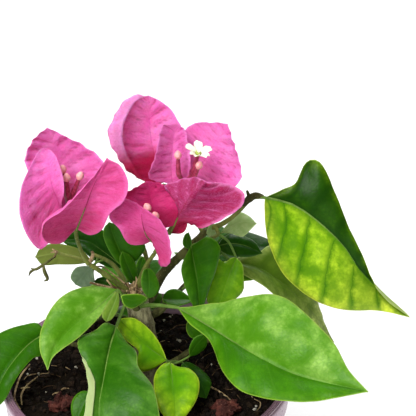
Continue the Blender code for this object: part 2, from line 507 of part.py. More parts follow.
def grown(shoot):
    """Leaves alternating up a shoot, each fitted to its space and its neighbours."""
    dice = random.Random(shoot["seed"])
    low, high = (np.array(corner, float) for corner in shoot["space"])
    taken = standing()
    rows = list(shoot["leaves"])
    for number in range(shoot["count"]):
        along = (number + 1) / shoot["count"]
        node, heading = along_twig(shoot["stem"][0], along)
        hand = 0 if along == 1 else (1 if number % 2 else -1)
        lean = dice.uniform(38, 72)
        rise = -22 + 30 * along + dice.uniform(-10, 10)
        roll, arch, fold = dice.uniform(-18, 18), dice.uniform(25, 45), dice.uniform(8, 20)
        long = shoot["long"] * dice.uniform(0.8, 1.1)
        for size, swing, lift in ((1.0, 0, 0), (0.9, -20, 0), (0.85, 15, 12), (0.8, -30, -12),
                                  (0.7, 0, 0), (0.65, 25, 0), (0.55, 0, 15)):
            turn = heading + hand * (lean + swing)
            stalk = turned(turn, rise + lift + 15, 0)[:, 0] * long * size * 0.18
            row = leaf("%02d" % number, (0, along), tuple(node + stalk), turn, rise + lift,
                       roll, long * size, long * size * BLADE_RATIO, arch=arch, fold=fold)
            edge = np.array(samples(row))
            if (edge < low).any() or (edge > high).any():
                continue
            apart = np.linalg.norm(edge[:, None, :] - taken[None, :, :], axis=2).min()
            if apart > CLEARANCE:
                rows.append(row)
                break
    return rows


for shoot_name, shoot in OTHER_SHOOTS.items():
    MASSES[shoot_name] = dict(limb=shoot["limb"], twigs=[shoot["stem"]], leaves=grown(shoot))

# ================================================================ modelling
BLADE_ROWS, BLADE_COLUMNS = 6, 4
SMALL_BLADE = 30.0            # blades shorter than this,
SMALL_WIDTH = 18.0            # and narrower than this, have a coarser mesh
LEAF_THICKNESS = 0.7
BRACT_THICKNESS = 0.5


def material(name, colour, roughness):
    """A plain Principled material."""
    made = bpy.data.materials.new(name)
    made.use_nodes = True
    shader = made.node_tree.nodes["Principled BSDF"]
    shader.inputs["Base Color"].default_value = (*colour, 1)
    shader.inputs["Roughness"].default_value = roughness
    shader.inputs["Metallic"].default_value = 0.0
    made.diffuse_color = (*colour, 1)
    return made


def add(name, mesh, collection):
    """A new object for a mesh in a collection."""
    made = bpy.data.objects.new(name, mesh)
    collection.objects.link(made)
    return made


def baked(source, name, collection, weld=0.01):
    """The evaluated mesh of an object as a plain new object; the source is removed."""
    bpy.context.view_layer.update()
    graph = bpy.context.evaluated_depsgraph_get()
    mesh = bpy.data.meshes.new_from_object(source.evaluated_get(graph))
    mesh.transform(source.matrix_world)
    bpy.data.objects.remove(source)
    work = bmesh.new()
    work.from_mesh(mesh)
    bmesh.ops.remove_doubles(work, verts=work.verts, dist=weld * MM)
    bmesh.ops.triangulate(work, faces=work.faces)
    work.to_mesh(mesh)
    work.free()
    return add(name, mesh, collection)


def tube(name, points, radii, collection, resolution=1):
    """A round limb through points, with its own radius at each, capped at both ends."""
    curve = bpy.data.curves.new(name, "CURVE")
    curve.dimensions = "3D"
    curve.bevel_depth = 1.0 * MM
    curve.bevel_resolution = resolution
    curve.use_fill_caps = True
    line = curve.splines.new("POLY")
    line.points.add(len(points) - 1)
    for knot, point, radius in zip(line.points, points, radii):
        knot.co = (*(value * MM for value in point), 1)
        knot.radius = radius
    return baked(add(name, curve, collection), name, collection)


def blade(row, thickness, collection):
    """One leaf or bract: a grid shaped by the blade's rule, then thickened."""
    small = row["long"] < SMALL_BLADE and row["wide"] < SMALL_WIDTH
    rows, columns = (4, 2) if small else (BLADE_ROWS, BLADE_COLUMNS)
    work = bmesh.new()
    bmesh.ops.create_grid(work, x_segments=rows, y_segments=columns, size=1.0)
    rib = midrib(row)
    for vert in work.verts:
        u, v = (vert.co.x + 1) / 2, vert.co.y
        vert.co = blade_point(row, rib, u, v) * MM
    mesh = bpy.data.meshes.new(row["name"])
    work.to_mesh(mesh)
    work.free()
    made = add(row["name"], mesh, collection)
    shell = made.modifiers.new("thickness", "SOLIDIFY")
    shell.thickness = max(thickness, row["long"] / 95) * MM
    shell.offset = 0
    return baked(made, row["name"], collection)


def stalk(row, twigs, collection):
    """The leaf stalk, from inside its twig, in a low bow, to just past the blade's foot."""
    twig, part = row["at"]
    start, _ = along_twig(twigs[twig][0], part)
    foot, along, _, _ = midrib(row)(0)
    middle = (start + foot) / 2 - along * 0.12 * np.linalg.norm(foot - start)
    into, _, _, _ = midrib(row)(0.12)
    thick = 0.45 + row["long"] / 200
    return tube(row["name"] + "_stalk", [start, middle, foot, into],
                [thick, thick, thick * 0.9, thick * 0.6], collection, 0)


def blossom(number, row, twigs, collection):
    """A narrow tube ending in a closed bud, or in the open five-lobed flower."""
    (twig, part), bend, tip, is_open = row
    start, _ = along_twig(twigs[twig][0], part)
    start, bend, tip = (np.array(point, float) for point in (start, bend, tip))
    neck = tip + (bend - tip) * 0.25
    swell = TUBE_RADIUS if is_open else BUD_RADIUS
    made = [tube("tube_%d" % number, [start, bend, neck, tip],
                 [TUBE_RADIUS, TUBE_RADIUS, swell, swell * 0.7], collection, 1)]
    if is_open:
        work = bmesh.new()
        bmesh.ops.create_cone(work, cap_ends=True, segments=FLOWER_LOBES * 2,
                              radius1=FLOWER_RADIUS * 0.8 * MM, radius2=FLOWER_RADIUS * MM,
                              depth=1.0 * MM)
        for vert in work.verts:
            turn = math.atan2(vert.co.y, vert.co.x)
            lobe = 0.78 + 0.22 * math.cos(FLOWER_LOBES * turn)
            vert.co.x, vert.co.y = vert.co.x * lobe, vert.co.y * lobe
        mesh = bpy.data.meshes.new("flower")
        work.to_mesh(mesh)
        work.free()
        flower = add("flower_%d" % number, mesh, collection)
        flower.location = tip * MM
        axis = tip - bend
        flower.rotation_euler = (0, math.acos(axis[2] / np.linalg.norm(axis)),
                                 math.atan2(axis[1], axis[0]))
        made.append(baked(flower, "flower_%d" % number, collection))
    return made


def fill_pockets(mesh):
    """Pockets shut in where blades cross are filled: only the outer skin is kept."""
    work = bmesh.new()
    work.from_mesh(mesh)
    left, skins = set(work.verts), []
    while left:
        skin, edge_of_skin = set(), [left.pop()]
        while edge_of_skin:
            vert = edge_of_skin.pop()
            skin.add(vert)
            near = {edge.other_vert(vert) for edge in vert.link_edges} & left
            left -= near
            edge_of_skin += list(near)
        skins.append(skin)
    outer = max(skins, key=len)
    bmesh.ops.delete(work, geom=[vert for vert in work.verts if vert not in outer],
                     context="VERTS")
    work.to_mesh(mesh)
    work.free()


def rooted(limb, points, radii):
    """A stem with one more point: its foot, square to the limb's side and GAP clear of it."""
    axis, thick = LIMBS[limb]
    start, best = np.array(points[0], float), None
    for step in range(201):
        place, _ = along_twig(axis, step / 200)
        away = np.linalg.norm(start - place)
        if best is None or away < best[0]:
            best = away, place, np.interp(step / 200 * (len(axis) - 1), range(len(axis)), thick)
    away, place, radius = best
    foot = place + (start - place) / away * (radius + GAP)
    return [tuple(foot), *points], [radii[0], *radii]


def mass(name, limb, twigs, leaves, thickness, blossoms, collection):
    """One mass of foliage: its twigs, stalks, blades and flowers joined into one solid."""
    pieces = bpy.data.collections.new(name + "_pieces")
    bpy.context.scene.collection.children.link(pieces)
    stem = tube(name, *(rooted(limb, *twigs[0]) if limb else twigs[0]), collection)
    for number, twig in enumerate(twigs[1:]):
        tube("twig_%d" % number, *twig, pieces)
    for row in leaves:
        blade(row, thickness, pieces)
        stalk(row, twigs, pieces)
    for number, row in enumerate(blossoms):
        blossom(number, row, twigs, pieces)
    join = stem.modifiers.new("join", "BOOLEAN")
    join.operation = "UNION"
    join.operand_type = "COLLECTION"
    join.collection = pieces
    join.solver = "MANIFOLD"
    made = baked(stem, name, collection, weld=0.0001)
    for piece in list(pieces.objects):
        bpy.data.objects.remove(piece)
    bpy.data.collections.remove(pieces)
    fill_pockets(made.data)
    return made


def turned_solid(name, profile, collection, segments=POT_SEGMENTS):
    """A solid of revolution: its profile runs from the axis, up, out, down and back."""
    mesh = bpy.data.meshes.new(name)
    work = bmesh.new()
    knots = [work.verts.new((radius * MM, 0, height * MM)) for radius, height in profile]
    for first, second in zip(knots, knots[1:]):
        work.edges.new((first, second))
    work.to_mesh(mesh)
    work.free()
    made = add(name, mesh, collection)
    screw = made.modifiers.new("turn", "SCREW")
    screw.steps = screw.render_steps = segments
    screw.use_merge_vertices = True
    screw.merge_threshold = 0.00001
    screw.use_smooth_shade = True
    return made


def pot_profile():
    """Floor, inner wall with its stacking step, flat lip, band, wall and flat foot."""
    band_foot = POT_HEIGHT - BAND_HEIGHT
    inner_lip = RIM_RADIUS - LIP_WIDTH
    return [(0, FLOOR_THICK), (FOOT_RADIUS - WALL - 0.8, FLOOR_THICK),
            (FOOT_RADIUS - WALL, FLOOR_THICK + 1.5),
            (SHOULDER_RADIUS - WALL, band_foot - 1.0), (inner_lip + 0.5, band_foot + 1.0),
            (inner_lip + 0.9, POT_HEIGHT - LIP_DEPTH), (inner_lip, POT_HEIGHT - 1.4),
            (inner_lip + 0.4, POT_HEIGHT - 0.3), (inner_lip + 1.0, POT_HEIGHT),
            (RIM_RADIUS - 0.8, POT_HEIGHT), (RIM_RADIUS, POT_HEIGHT - 0.8),
            (RIM_RADIUS, POT_HEIGHT - LIP_DEPTH), (BAND_RADIUS, POT_HEIGHT - LIP_DEPTH - 0.5),
            (BAND_RADIUS - 0.9, band_foot), (SHOULDER_RADIUS, band_foot - 1.4),
            (FOOT_RADIUS + 0.2, 1.2), (FOOT_RADIUS - 0.8, 0), (0, 0)]


def soil_profile():
    """The mix fills the pot with a small clearance and has a nearly level top."""
    gap = GAP + 0.05
    band_foot = POT_HEIGHT - BAND_HEIGHT
    inner_lip = RIM_RADIUS - LIP_WIDTH
    return [(0, SOIL_TOP), (14, SOIL_TOP), (32, SOIL_TOP + 0.6), (48, SOIL_TOP - 0.6),
            (inner_lip + 0.6 - gap, SOIL_TOP - 1.0), (inner_lip + 0.5 - gap, band_foot + 1.2),
            (SHOULDER_RADIUS - WALL - gap, band_foot - 0.8),
            (FOOT_RADIUS - WALL - gap, FLOOR_THICK + 1.5),
            (FOOT_RADIUS - WALL - 0.8 - gap, FLOOR_THICK + gap), (0, FLOOR_THICK + gap)]


for thing in list(bpy.data.objects):
    bpy.data.objects.remove(thing)
plant = bpy.data.collections.new("potted_bougainvillea")
cutters = bpy.data.collections.new("cutters")
for group in (plant, cutters):
    bpy.context.scene.collection.children.link(group)

MAUVE = material("mauve_plastic", (0.38, 0.28, 0.34), 0.25)
MIX = material("dark_mix", (0.02, 0.015, 0.012), 0.95)
BARK = material("bark", (0.14, 0.12, 0.07), 0.85)
GREEN_WOOD = material("green_wood", (0.09, 0.09, 0.03), 0.7)
LEAF_GREEN = material("leaf_green", (0.09, 0.25, 0.03), 0.45)
PINK = material("bract_pink", (0.70, 0.07, 0.30), 0.6)


def dress(made, skin):
    """Give an object its material and smooth rounded faces."""
    made.data.materials.clear()
    made.data.materials.append(skin)
    made.data.shade_smooth()
    made.data.set_sharp_from_angle(angle=math.radians(40))


# trunk and boughs
for limb_name, (limb_points, limb_radii) in LIMBS.items():
    if limb_name == "bough_right":
        limb_points, limb_radii = rooted("trunk", limb_points, limb_radii)
    limb = tube(limb_name, limb_points, limb_radii, plant, 3 if limb_name == "trunk" else 2)
    dress(limb, BARK if limb_name in ("trunk", "bough_right") else GREEN_WOOD)

# the masses of foliage
for mass_name, parts in MASSES.items():
    papery = mass_name.endswith("bracts")
    made = mass(mass_name, parts.get("limb"), parts["twigs"], parts["leaves"],
                BRACT_THICKNESS if papery else LEAF_THICKNESS,
                BLOSSOM.get(mass_name, []), plant)
    dress(made, PINK if papery else LEAF_GREEN)

# the pot, with its drain holes, and the mix inside it
pot = turned_solid("pot", pot_profile(), plant)
pot.data.materials.append(MAUVE)
for number in range(DRAIN_HOLES):
    angle = 2 * math.pi * number / DRAIN_HOLES
    bpy.ops.mesh.primitive_cylinder_add(
        vertices=16, radius=DRAIN_RADIUS * MM, depth=8 * MM,
        location=(DRAIN_RING * math.cos(angle) * MM, DRAIN_RING * math.sin(angle) * MM, 0))
    cutter = bpy.context.object
    cutter.name = "drain_cutter_%d" % number
    for home in list(cutter.users_collection):
        home.objects.unlink(cutter)
    cutters.objects.link(cutter)
    cutter.hide_render = True
    cutter.display_type = "WIRE"
drains = pot.modifiers.new("drains", "BOOLEAN")
drains.operation = "DIFFERENCE"
drains.operand_type = "COLLECTION"
drains.collection = cutters
soil = turned_solid("potting_mix", soil_profile(), plant)
soil.data.materials.append(MIX)
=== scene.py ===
# %% [markdown]
# # A young bougainvillea in its nursery pot
# A bougainvillea has three kinds of thing to model.  There is wood: a pruned trunk and
# a few slim boughs.  There are blades: soft green leaves, and the papery bracts that most
# people take for its flowers.  And there is blossom, the small cream flower that stands
# on a narrow tube inside three bracts.  Round and under them are the pot and its mix.
#
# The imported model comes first, as a frame that nothing here moves.  All sizes below are
# written in millimetres, and MM turns them into Blender's metres.

# %% Load the frame
import math
import random

import bmesh
import bpy
import numpy as np
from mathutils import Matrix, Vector, noise


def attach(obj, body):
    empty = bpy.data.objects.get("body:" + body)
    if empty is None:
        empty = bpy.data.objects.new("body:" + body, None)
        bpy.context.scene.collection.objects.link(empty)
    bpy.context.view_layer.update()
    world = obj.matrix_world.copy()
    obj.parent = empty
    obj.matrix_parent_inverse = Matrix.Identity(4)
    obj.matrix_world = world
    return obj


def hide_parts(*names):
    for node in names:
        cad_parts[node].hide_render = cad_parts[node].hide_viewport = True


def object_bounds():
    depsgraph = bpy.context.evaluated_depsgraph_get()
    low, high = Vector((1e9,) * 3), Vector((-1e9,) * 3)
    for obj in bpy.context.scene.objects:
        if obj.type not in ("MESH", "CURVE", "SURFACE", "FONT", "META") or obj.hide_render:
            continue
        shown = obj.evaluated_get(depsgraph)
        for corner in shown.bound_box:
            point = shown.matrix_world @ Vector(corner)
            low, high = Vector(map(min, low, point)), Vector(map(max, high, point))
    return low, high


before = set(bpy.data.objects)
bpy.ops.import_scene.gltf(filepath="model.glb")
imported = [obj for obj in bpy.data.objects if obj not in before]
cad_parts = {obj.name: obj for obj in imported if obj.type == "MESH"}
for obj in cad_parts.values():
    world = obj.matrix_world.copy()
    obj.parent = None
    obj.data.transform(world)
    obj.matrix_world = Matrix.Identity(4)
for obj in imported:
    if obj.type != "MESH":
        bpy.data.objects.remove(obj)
solid_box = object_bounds()
MM = 0.001
print("nodes in the frame:", len(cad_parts))
print("box in mm:", [[round(c / MM, 1) for c in corner] for corner in solid_box])


def placed(name, data, place=(0, 0, 0)):
    """A new object in the scene."""
    made = bpy.data.objects.new(name, data)
    made.location = place
    bpy.context.scene.collection.objects.link(made)
    return made


# %% [markdown]
# ## The camera
# The view looks down on the pot's rim from the front, with a long lens, so that the near
# leaves are only a little larger than the far ones.  A square picture 36 mm wide on the
# sensor makes the lens's length the only number that sets the angle of view.

# %% Place the camera
LENS = 103.85
LOOK_DOWN = 26.39
eye = bpy.data.cameras.new("eye")
eye.lens = LENS
eye.sensor_width = 36.0
eye.clip_start = 0.01
camera = placed("camera", eye, (0.0251, -0.4145, 0.3835))
camera.rotation_euler = (math.radians(90 - LOOK_DOWN), 0, 0)
bpy.context.scene.camera = camera
print("camera looks down by", LOOK_DOWN, "degrees")

# %% [markdown]
# ## Materials as formulas
# A node graph is quicker to read as a formula than as a drawing.  A Finish is a material
# that is written so: each step is a method that adds one node and gives back its result,
# and `coat` lays one more colour over what is there.  Colours are in thousandths.


# %% A material and its steps
class Finish:
    """A material with a colour that is built up step by step."""

    def __init__(self, name, roughness=0.5, **fixed):
        self.made = bpy.data.materials.new(name)
        self.made.use_nodes = True
        self.tree = self.made.node_tree
        self.shader = self.tree.nodes["Principled BSDF"].inputs
        for socket, value in dict(Roughness=roughness, **fixed).items():
            self.shader[socket.replace("_", " ")].default_value = value
        self.place = self.node("TexCoord", out=3)
        self.body = None

    def fill(self, socket, value):
        """Links a socket, or types a number, some numbers or a colour into it."""
        if isinstance(value, bpy.types.NodeSocket):
            self.tree.links.new(value, socket)
        elif socket.type == "RGBA":
            socket.default_value = [part / 1000 for part in value] + [1]
        elif value is not None:
            socket.default_value = value

    def node(self, kind, *inputs, out=0, **settings):
        """Adds a node, sets it up, fills its inputs in order and returns one output."""
        made = self.tree.nodes.new("ShaderNode" + kind)
        for setting, value in settings.items():
            setattr(made, setting, value)
        for socket, value in zip(made.inputs, inputs):
            self.fill(socket, value)
        return made.outputs if out is None else made.outputs[out]

    def sums(self, operation, *values):
        return self.node("Math", *values, operation=operation)

    def add(self, *values):
        return self.sums("ADD", *values)

    def times(self, *values):
        """The product of two numbers, and a third added to it if there is one."""
        return self.sums("MULTIPLY_ADD" if len(values) > 2 else "MULTIPLY", *values)

    def most(self, *values):
        return self.sums("MAXIMUM", *values)

    def fade(self, value, start, end, low=1.0, high=0.0):
        """Goes smoothly from low to high while value goes from start to end."""
        return self.node("MapRange", value, start, end, low, high,
                         interpolation_type="SMOOTHSTEP")

    def blend(self, share, first, second):
        """Mixes two colours, given as results or as (red, green, blue)."""
        made = self.tree.nodes.new("ShaderNodeMix")
        made.data_type = "RGBA"
        for index, value in ((0, share), (6, first), (7, second)):
            self.fill(made.inputs[index], value)
        return made.outputs[2]

    def coat(self, share, colour):
        self.body = self.blend(share, self.body, colour)

    def cloud(self, scale, detail=3.0, rough=0.6, place=None):
        """Soft noise from 0 to 1."""
        return self.node("TexNoise", place or self.place, None, scale, detail, rough)

    def cells(self, scale, **settings):
        return self.node("TexVoronoi", self.place, None, scale, **settings)

    def kept(self, name):
        """The three numbers that a piece keeps at its points under a name."""
        numbers = self.node("Attribute", out=1, attribute_name=name)
        return self.node("SeparateXYZ", numbers, out=None)

    def done(self, height=None, depth=0.1, reach=0.0004, roughness=None):
        """Joins colour, relief and roughness to the shader."""
        self.fill(self.shader["Base Color"], self.body)
        self.fill(self.shader["Roughness"], roughness)
        if height is not None:
            bump = self.tree.nodes.new("ShaderNodeBump")
            for socket, value in (("Strength", depth), ("Distance", reach), ("Height", height)):
                self.fill(bump.inputs[socket], value)
            self.fill(self.shader["Normal"], bump.outputs[0])
        return self.made


floor_skin = Finish("studio_floor", 0.8)
floor_skin.body = (930, 930, 930)
print("made", floor_skin.done().name)

# %% [markdown]
# ## The studio
# A pale floor and a pale sky give soft light from every side.  One large lamp above the
# left shoulder shapes the leaves, and a second behind the plant puts the long pale sheen
# on leaves that are seen at a low angle.

# %% Floor, sky and lamps
FLOOR_HALF = 3.0
# each lamp's place and target, its side, its power, and whether gloss shows it
LAMPS = {
    "key_lamp": ((-0.30, -0.45, 0.85), (0.01, 0.0, 0.15), 0.40, 6.5, True),
    "back_lamp": ((0.25, 0.75, 0.75), (0.02, 0.0, 0.15), 0.60, 5.5, True),
    "top_lamp": ((0.0, 0.4, 2.2), (0.0, 0.4, 0.0), 2.5, 38, False),
    "front_lamp": ((-0.5, -1.6, 0.8), (0.0, 0.0, 0.15), 1.2, 16, False),
}
for name, (place, target, size, watts, glossy) in LAMPS.items():
    light = bpy.data.lights.new(name, "AREA")
    light.shape = "SQUARE"
    light.size = size
    light.energy = watts
    lamp = placed(name, light, place)
    lamp.rotation_euler = (Vector(target) - Vector(place)).to_track_quat("-Z", "Y").to_euler()
    lamp.visible_glossy = glossy
world = bpy.data.worlds.new("studio")
world.use_nodes = True
sky = world.node_tree.nodes["Background"].inputs
sky["Color"].default_value = (1, 1, 1, 1)
sky["Strength"].default_value = 0.10
bpy.context.scene.world = world
bpy.context.scene.view_settings.view_transform = "Standard"

floor_mesh = bpy.data.meshes.new("floor")
corners = [(x * FLOOR_HALF, y * FLOOR_HALF, 0) for x, y in ((-1, -1), (1, -1), (1, 1), (-1, 1))]
floor_mesh.from_pydata(corners, [], [(0, 1, 2, 3)])
floor_mesh.materials.append(floor_skin.made)
placed("floor", floor_mesh)
print("lamps:", ", ".join(LAMPS))

# %% [markdown]
# ## One rule for every blade
# Leaves and bracts are the same thing to a plant, and here they share one rule.  A blade
# has a midrib that bends as it goes, and an outline that swells and closes along it.
# Its two halves fold up from the midrib and may cup like a hand.  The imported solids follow
# the same rule with few faces; here it works on whole grids of points at once, so a blade
# can have a thousand of them.


# %% Describe a blade
def leaf(name, at, foot, turn, rise, roll, long, wide, fold=18, cup=0, arch=25, belly=0.66,
         point=0.6, blunt=0.75, cord=0.0, wave=0.0):
    """One blade: where its stalk leaves its twig (twig number, 0 to 1 along it), the
    foot of the blade, its compass turn, rise above level and roll, its length and width."""
    return dict(locals())


def bract(*place_and_size):
    """A bract is a papery leaf with a heart-shaped base and a blunt tip."""
    return leaf(*place_and_size, fold=12, cup=35, arch=10, belly=0.78, point=0.55, blunt=0.5,
                cord=0.12, wave=0.06)


def turned(turn, rise, roll):
    """Rotation whose X runs along the blade, Y across it and Z off its upper face."""
    a, b, c = (math.radians(value) for value in (turn, -rise, roll))
    about_z = np.array([[math.cos(a), -math.sin(a), 0], [math.sin(a), math.cos(a), 0], [0, 0, 1]])
    about_y = np.array([[math.cos(b), 0, math.sin(b)], [0, 1, 0], [-math.sin(b), 0, math.cos(b)]])
    about_x = np.array([[1, 0, 0], [0, math.cos(c), -math.sin(c)], [0, math.sin(c), math.cos(c)]])
    return about_z @ about_y @ about_x


print("a level blade points along", turned(0, 0, 0)[:, 0])


# %% Describe a blade by its lines
def drawn(name, at, rib, left, right, bulge=(0, 0)):
    """A blade with folds of its own: its midrib from foot to tip, the rims to its left and
    right between those two points, and how far each half is puffed up (or, below 0, cupped)
    as a share of its width."""
    halves = [max(min(math.dist(point, place) for place in rib) for point in rim)
              for rim in (left, right)]
    long = sum(math.dist(a, b) for a, b in zip(rib, rib[1:]))
    row = leaf(name, at, rib[0], 0, 0, 0, long, 2 * max(halves))
    row.update(rib=rib, left=[rib[0], *left, rib[-1]], right=[rib[0], *right, rib[-1]],
               bulge=bulge)
    return row


def unit(vectors):
    """Vectors, along the last axis, made one long."""
    return vectors / np.linalg.norm(vectors, axis=-1, keepdims=True)


def extended(points):
    """Points with one more before the first and after the last, in line with their ends."""
    return np.concatenate([[2 * points[0] - points[1]], points, [2 * points[-1] - points[-2]]])


def on_line(points, u):
    """Places at shares u (0 to 1) of a smooth line through points."""
    points = np.array(points, float)
    marks = np.concatenate([[0], np.cumsum(np.linalg.norm(np.diff(points, axis=0), axis=1))])
    marks /= marks[-1]
    ends = extended(points)
    slopes = (ends[2:] - ends[:-2]) / np.gradient(marks)[:, None] / 2
    first = np.clip(np.searchsorted(marks, u, side="right") - 1, 0, len(marks) - 2)
    span = marks[first + 1] - marks[first]
    t, span = ((u - marks[first]) / span)[..., None], span[..., None]
    return ((2 * t ** 3 - 3 * t ** 2 + 1) * points[first] + (t ** 3 - 2 * t ** 2 + t) * span
            * slopes[first] + (3 * t ** 2 - 2 * t ** 3) * points[first + 1]
            + (t ** 3 - t ** 2) * span * slopes[first + 1])


middle = on_line([(0, 0, 0), (10, 5, 0), (20, 0, 0)], np.array([0.5]))
print("half way along a bent line:", middle.round(2))

# %% Shape a blade
RIB_STEPS = 24
FLAT_BELOW = 3.0              # narrower than this to a side, a blade folds less
NARROWEST = 0.12              # half-width at the very foot and tip


def midrib(row):
    """Places (25 x 3) and frames (25 x 3 x 3) along a blade's midrib."""
    if "rib" in row:
        even = np.linspace(0, 1, RIB_STEPS + 1)
        places = on_line(row["rib"], even)
        along = unit(np.gradient(places, axis=0))
        side = on_line(row["left"], even) - on_line(row["right"], even)
        side[0], side[-1] = side[1], side[-2]
        side = unit(side - along * (side * along).sum(1, keepdims=True))
        return places, np.stack([along, side, np.cross(along, side)], -1)
    first = turned(row["turn"], row["rise"], row["roll"])
    places, frames = [np.array(row["foot"], float)], []
    for step in range(RIB_STEPS + 1):
        frames.append(first @ turned(0, -row["arch"] * (step / RIB_STEPS), 0))
        places.append(places[-1] + frames[-1][:, 0] * (row["long"] / RIB_STEPS))
    return np.array(places[:-1]), np.array(frames)


def along_rib(values, u):
    """Values known at even steps of the midrib, read at shares u of it."""
    knots = np.linspace(0, 1, RIB_STEPS + 1)
    return np.stack([np.interp(u, knots, values[:, axis]) for axis in range(3)], -1)


def rim_of(row, u, v):
    """Points of the rim on the side that v is on."""
    return np.where((v > 0)[..., None], on_line(row["left"], u), on_line(row["right"], u))


def half_width(row, u, v):
    """Half the blade's width at u, on the side that v is on."""
    if "rib" in row:
        return np.linalg.norm(rim_of(row, u, v) - on_line(row["rib"], u), axis=-1)
    spread = np.sin(np.pi * np.clip(u, 0.0001, 0.999) ** row["belly"])
    return 0.5 * row["wide"] * spread ** (row["blunt"] + row["point"] * u)


def rolled(u, v, curl):
    """How far out and how far up a rolled rim carries points, as shares of the half's width.

    curl is (side, start, degrees, since, bend): from since on along the blade, that side
    turns over beyond start by so many degrees, towards the upper face, or below 0 away from
    it, within the share bend of the strip, and the rest of the strip lies flat."""
    hand, start, degrees, since, bend = curl
    turn = math.radians(abs(degrees))
    strip = (1 - start) * np.clip((u - since + 0.1) / 0.2, 0, 1) * (v * hand > 0) + 1e-6
    beyond = np.maximum(0, np.abs(v) - 1 + strip)
    arc = strip * bend
    angle = np.minimum(beyond / arc, 1) * turn
    flat = np.maximum(0, beyond - arc)
    wider = 1 / (1 - strip + arc / turn)
    out = np.minimum(np.abs(v), 1 - strip) + arc / turn * np.sin(angle) + flat * math.cos(turn)
    raised = arc / turn * (1 - np.cos(angle)) + flat * math.sin(turn)
    return out * wider, raised * wider * np.sign(degrees)


def blade_points(row, u, v, narrowest=NARROWEST, curl=None):
    """Points of the blade for arrays u (0 to 1 along) and v (-1 to 1 across)."""
    places, frames = midrib(row)
    place = along_rib(places, u)
    along, side, normal = (along_rib(frames[:, :, axis], u) for axis in range(3))
    half, across = half_width(row, u, v), np.abs(v)
    if "rib" in row:
        place = on_line(row["rib"], u)
        lift = 4 * np.where(v > 0, *row["bulge"]) * half * across * (1 - across)
        if curl is not None:
            across, raised = rolled(u, v, curl)
            lift = lift + raised * half
        wider = np.sign(v) * across * np.maximum(0, narrowest - half)
        return (place + (rim_of(row, u, v) - place) * across[..., None]
                + normal * lift[..., None] + side * wider[..., None])
    half = np.maximum(half, narrowest)
    ease = np.minimum(1.0, half / FLAT_BELOW)
    fold, cup = np.radians(row["fold"]) * ease, np.radians(row["cup"]) * ease
    steps = 12
    out, lift = np.zeros_like(u), np.zeros_like(u)
    for step in range(steps):
        heading = fold + cup * (across * (step + 0.5) / steps)
        out += np.cos(heading) * across / steps
        lift += np.sin(heading) * across / steps
    lift += row["wave"] * across ** 2 * np.sin(2 * np.pi * (2.5 * u + 0.25 * (v > 0)))
    back = row["cord"] * row["long"] * across * (1 - u) ** 4
    return (place + side * (np.sign(v) * out * half)[..., None]
            + normal * (lift * half)[..., None] - along * back[..., None])


test_row = leaf("test", (0, 0), (0, 0, 0), 0, 0, 0, 60, 34)
print("its tip is at", blade_points(test_row, np.array([1.0]), np.array([0.0])).round(1))

# %% [markdown]
# ## Where every blade is
# Each mass of foliage has twigs, given by their points and radii, and rows of blades that
# name the twig they stand on.  The rows in view were set one by one.  `limb` names the
# limb whose side the first twig grows from.

# %% Trunk and boughs
LIMBS = {
    "trunk": ([(1.5, 2.5, 97.3), (1.5, 2.5, 98.6), (1.2, 2.2, 102), (0.4, 1.6, 109), (-0.8, 1.0, 119),
        (-2.2, 0.5, 129), (-3.6, 0, 137), (-4.4, -0.2, 141.5)], [8.2, 7.4, 6.2, 5.2, 4.8, 4.6, 4.6,
        3.4]),
    "bough_right": ([(2.0, 4.9, 135.4), (5, 7.5, 141.4), (9, 9, 146.5), (15, 11, 152),
        (20, 12.5, 156.5), (24.5, 13.5, 161)], [2.2, 2.1, 1.9, 1.7, 1.5, 1.3]),
    "bough_middle": ([(-2.4, 1.4, 142.6), (-1, 1, 148), (1, 0, 153), (4, -0.5, 158)], [1.3, 1.1, 0.9,
        0.8]),
    "bough_left": ([(-6.9, -1.8, 141.8), (-11, -4, 147), (-16, -6.5, 153), (-20.5, -8.5, 157.5)], [1.3,
        1.1, 1.0, 0.9]),
}
print("limbs:", ", ".join(LIMBS))

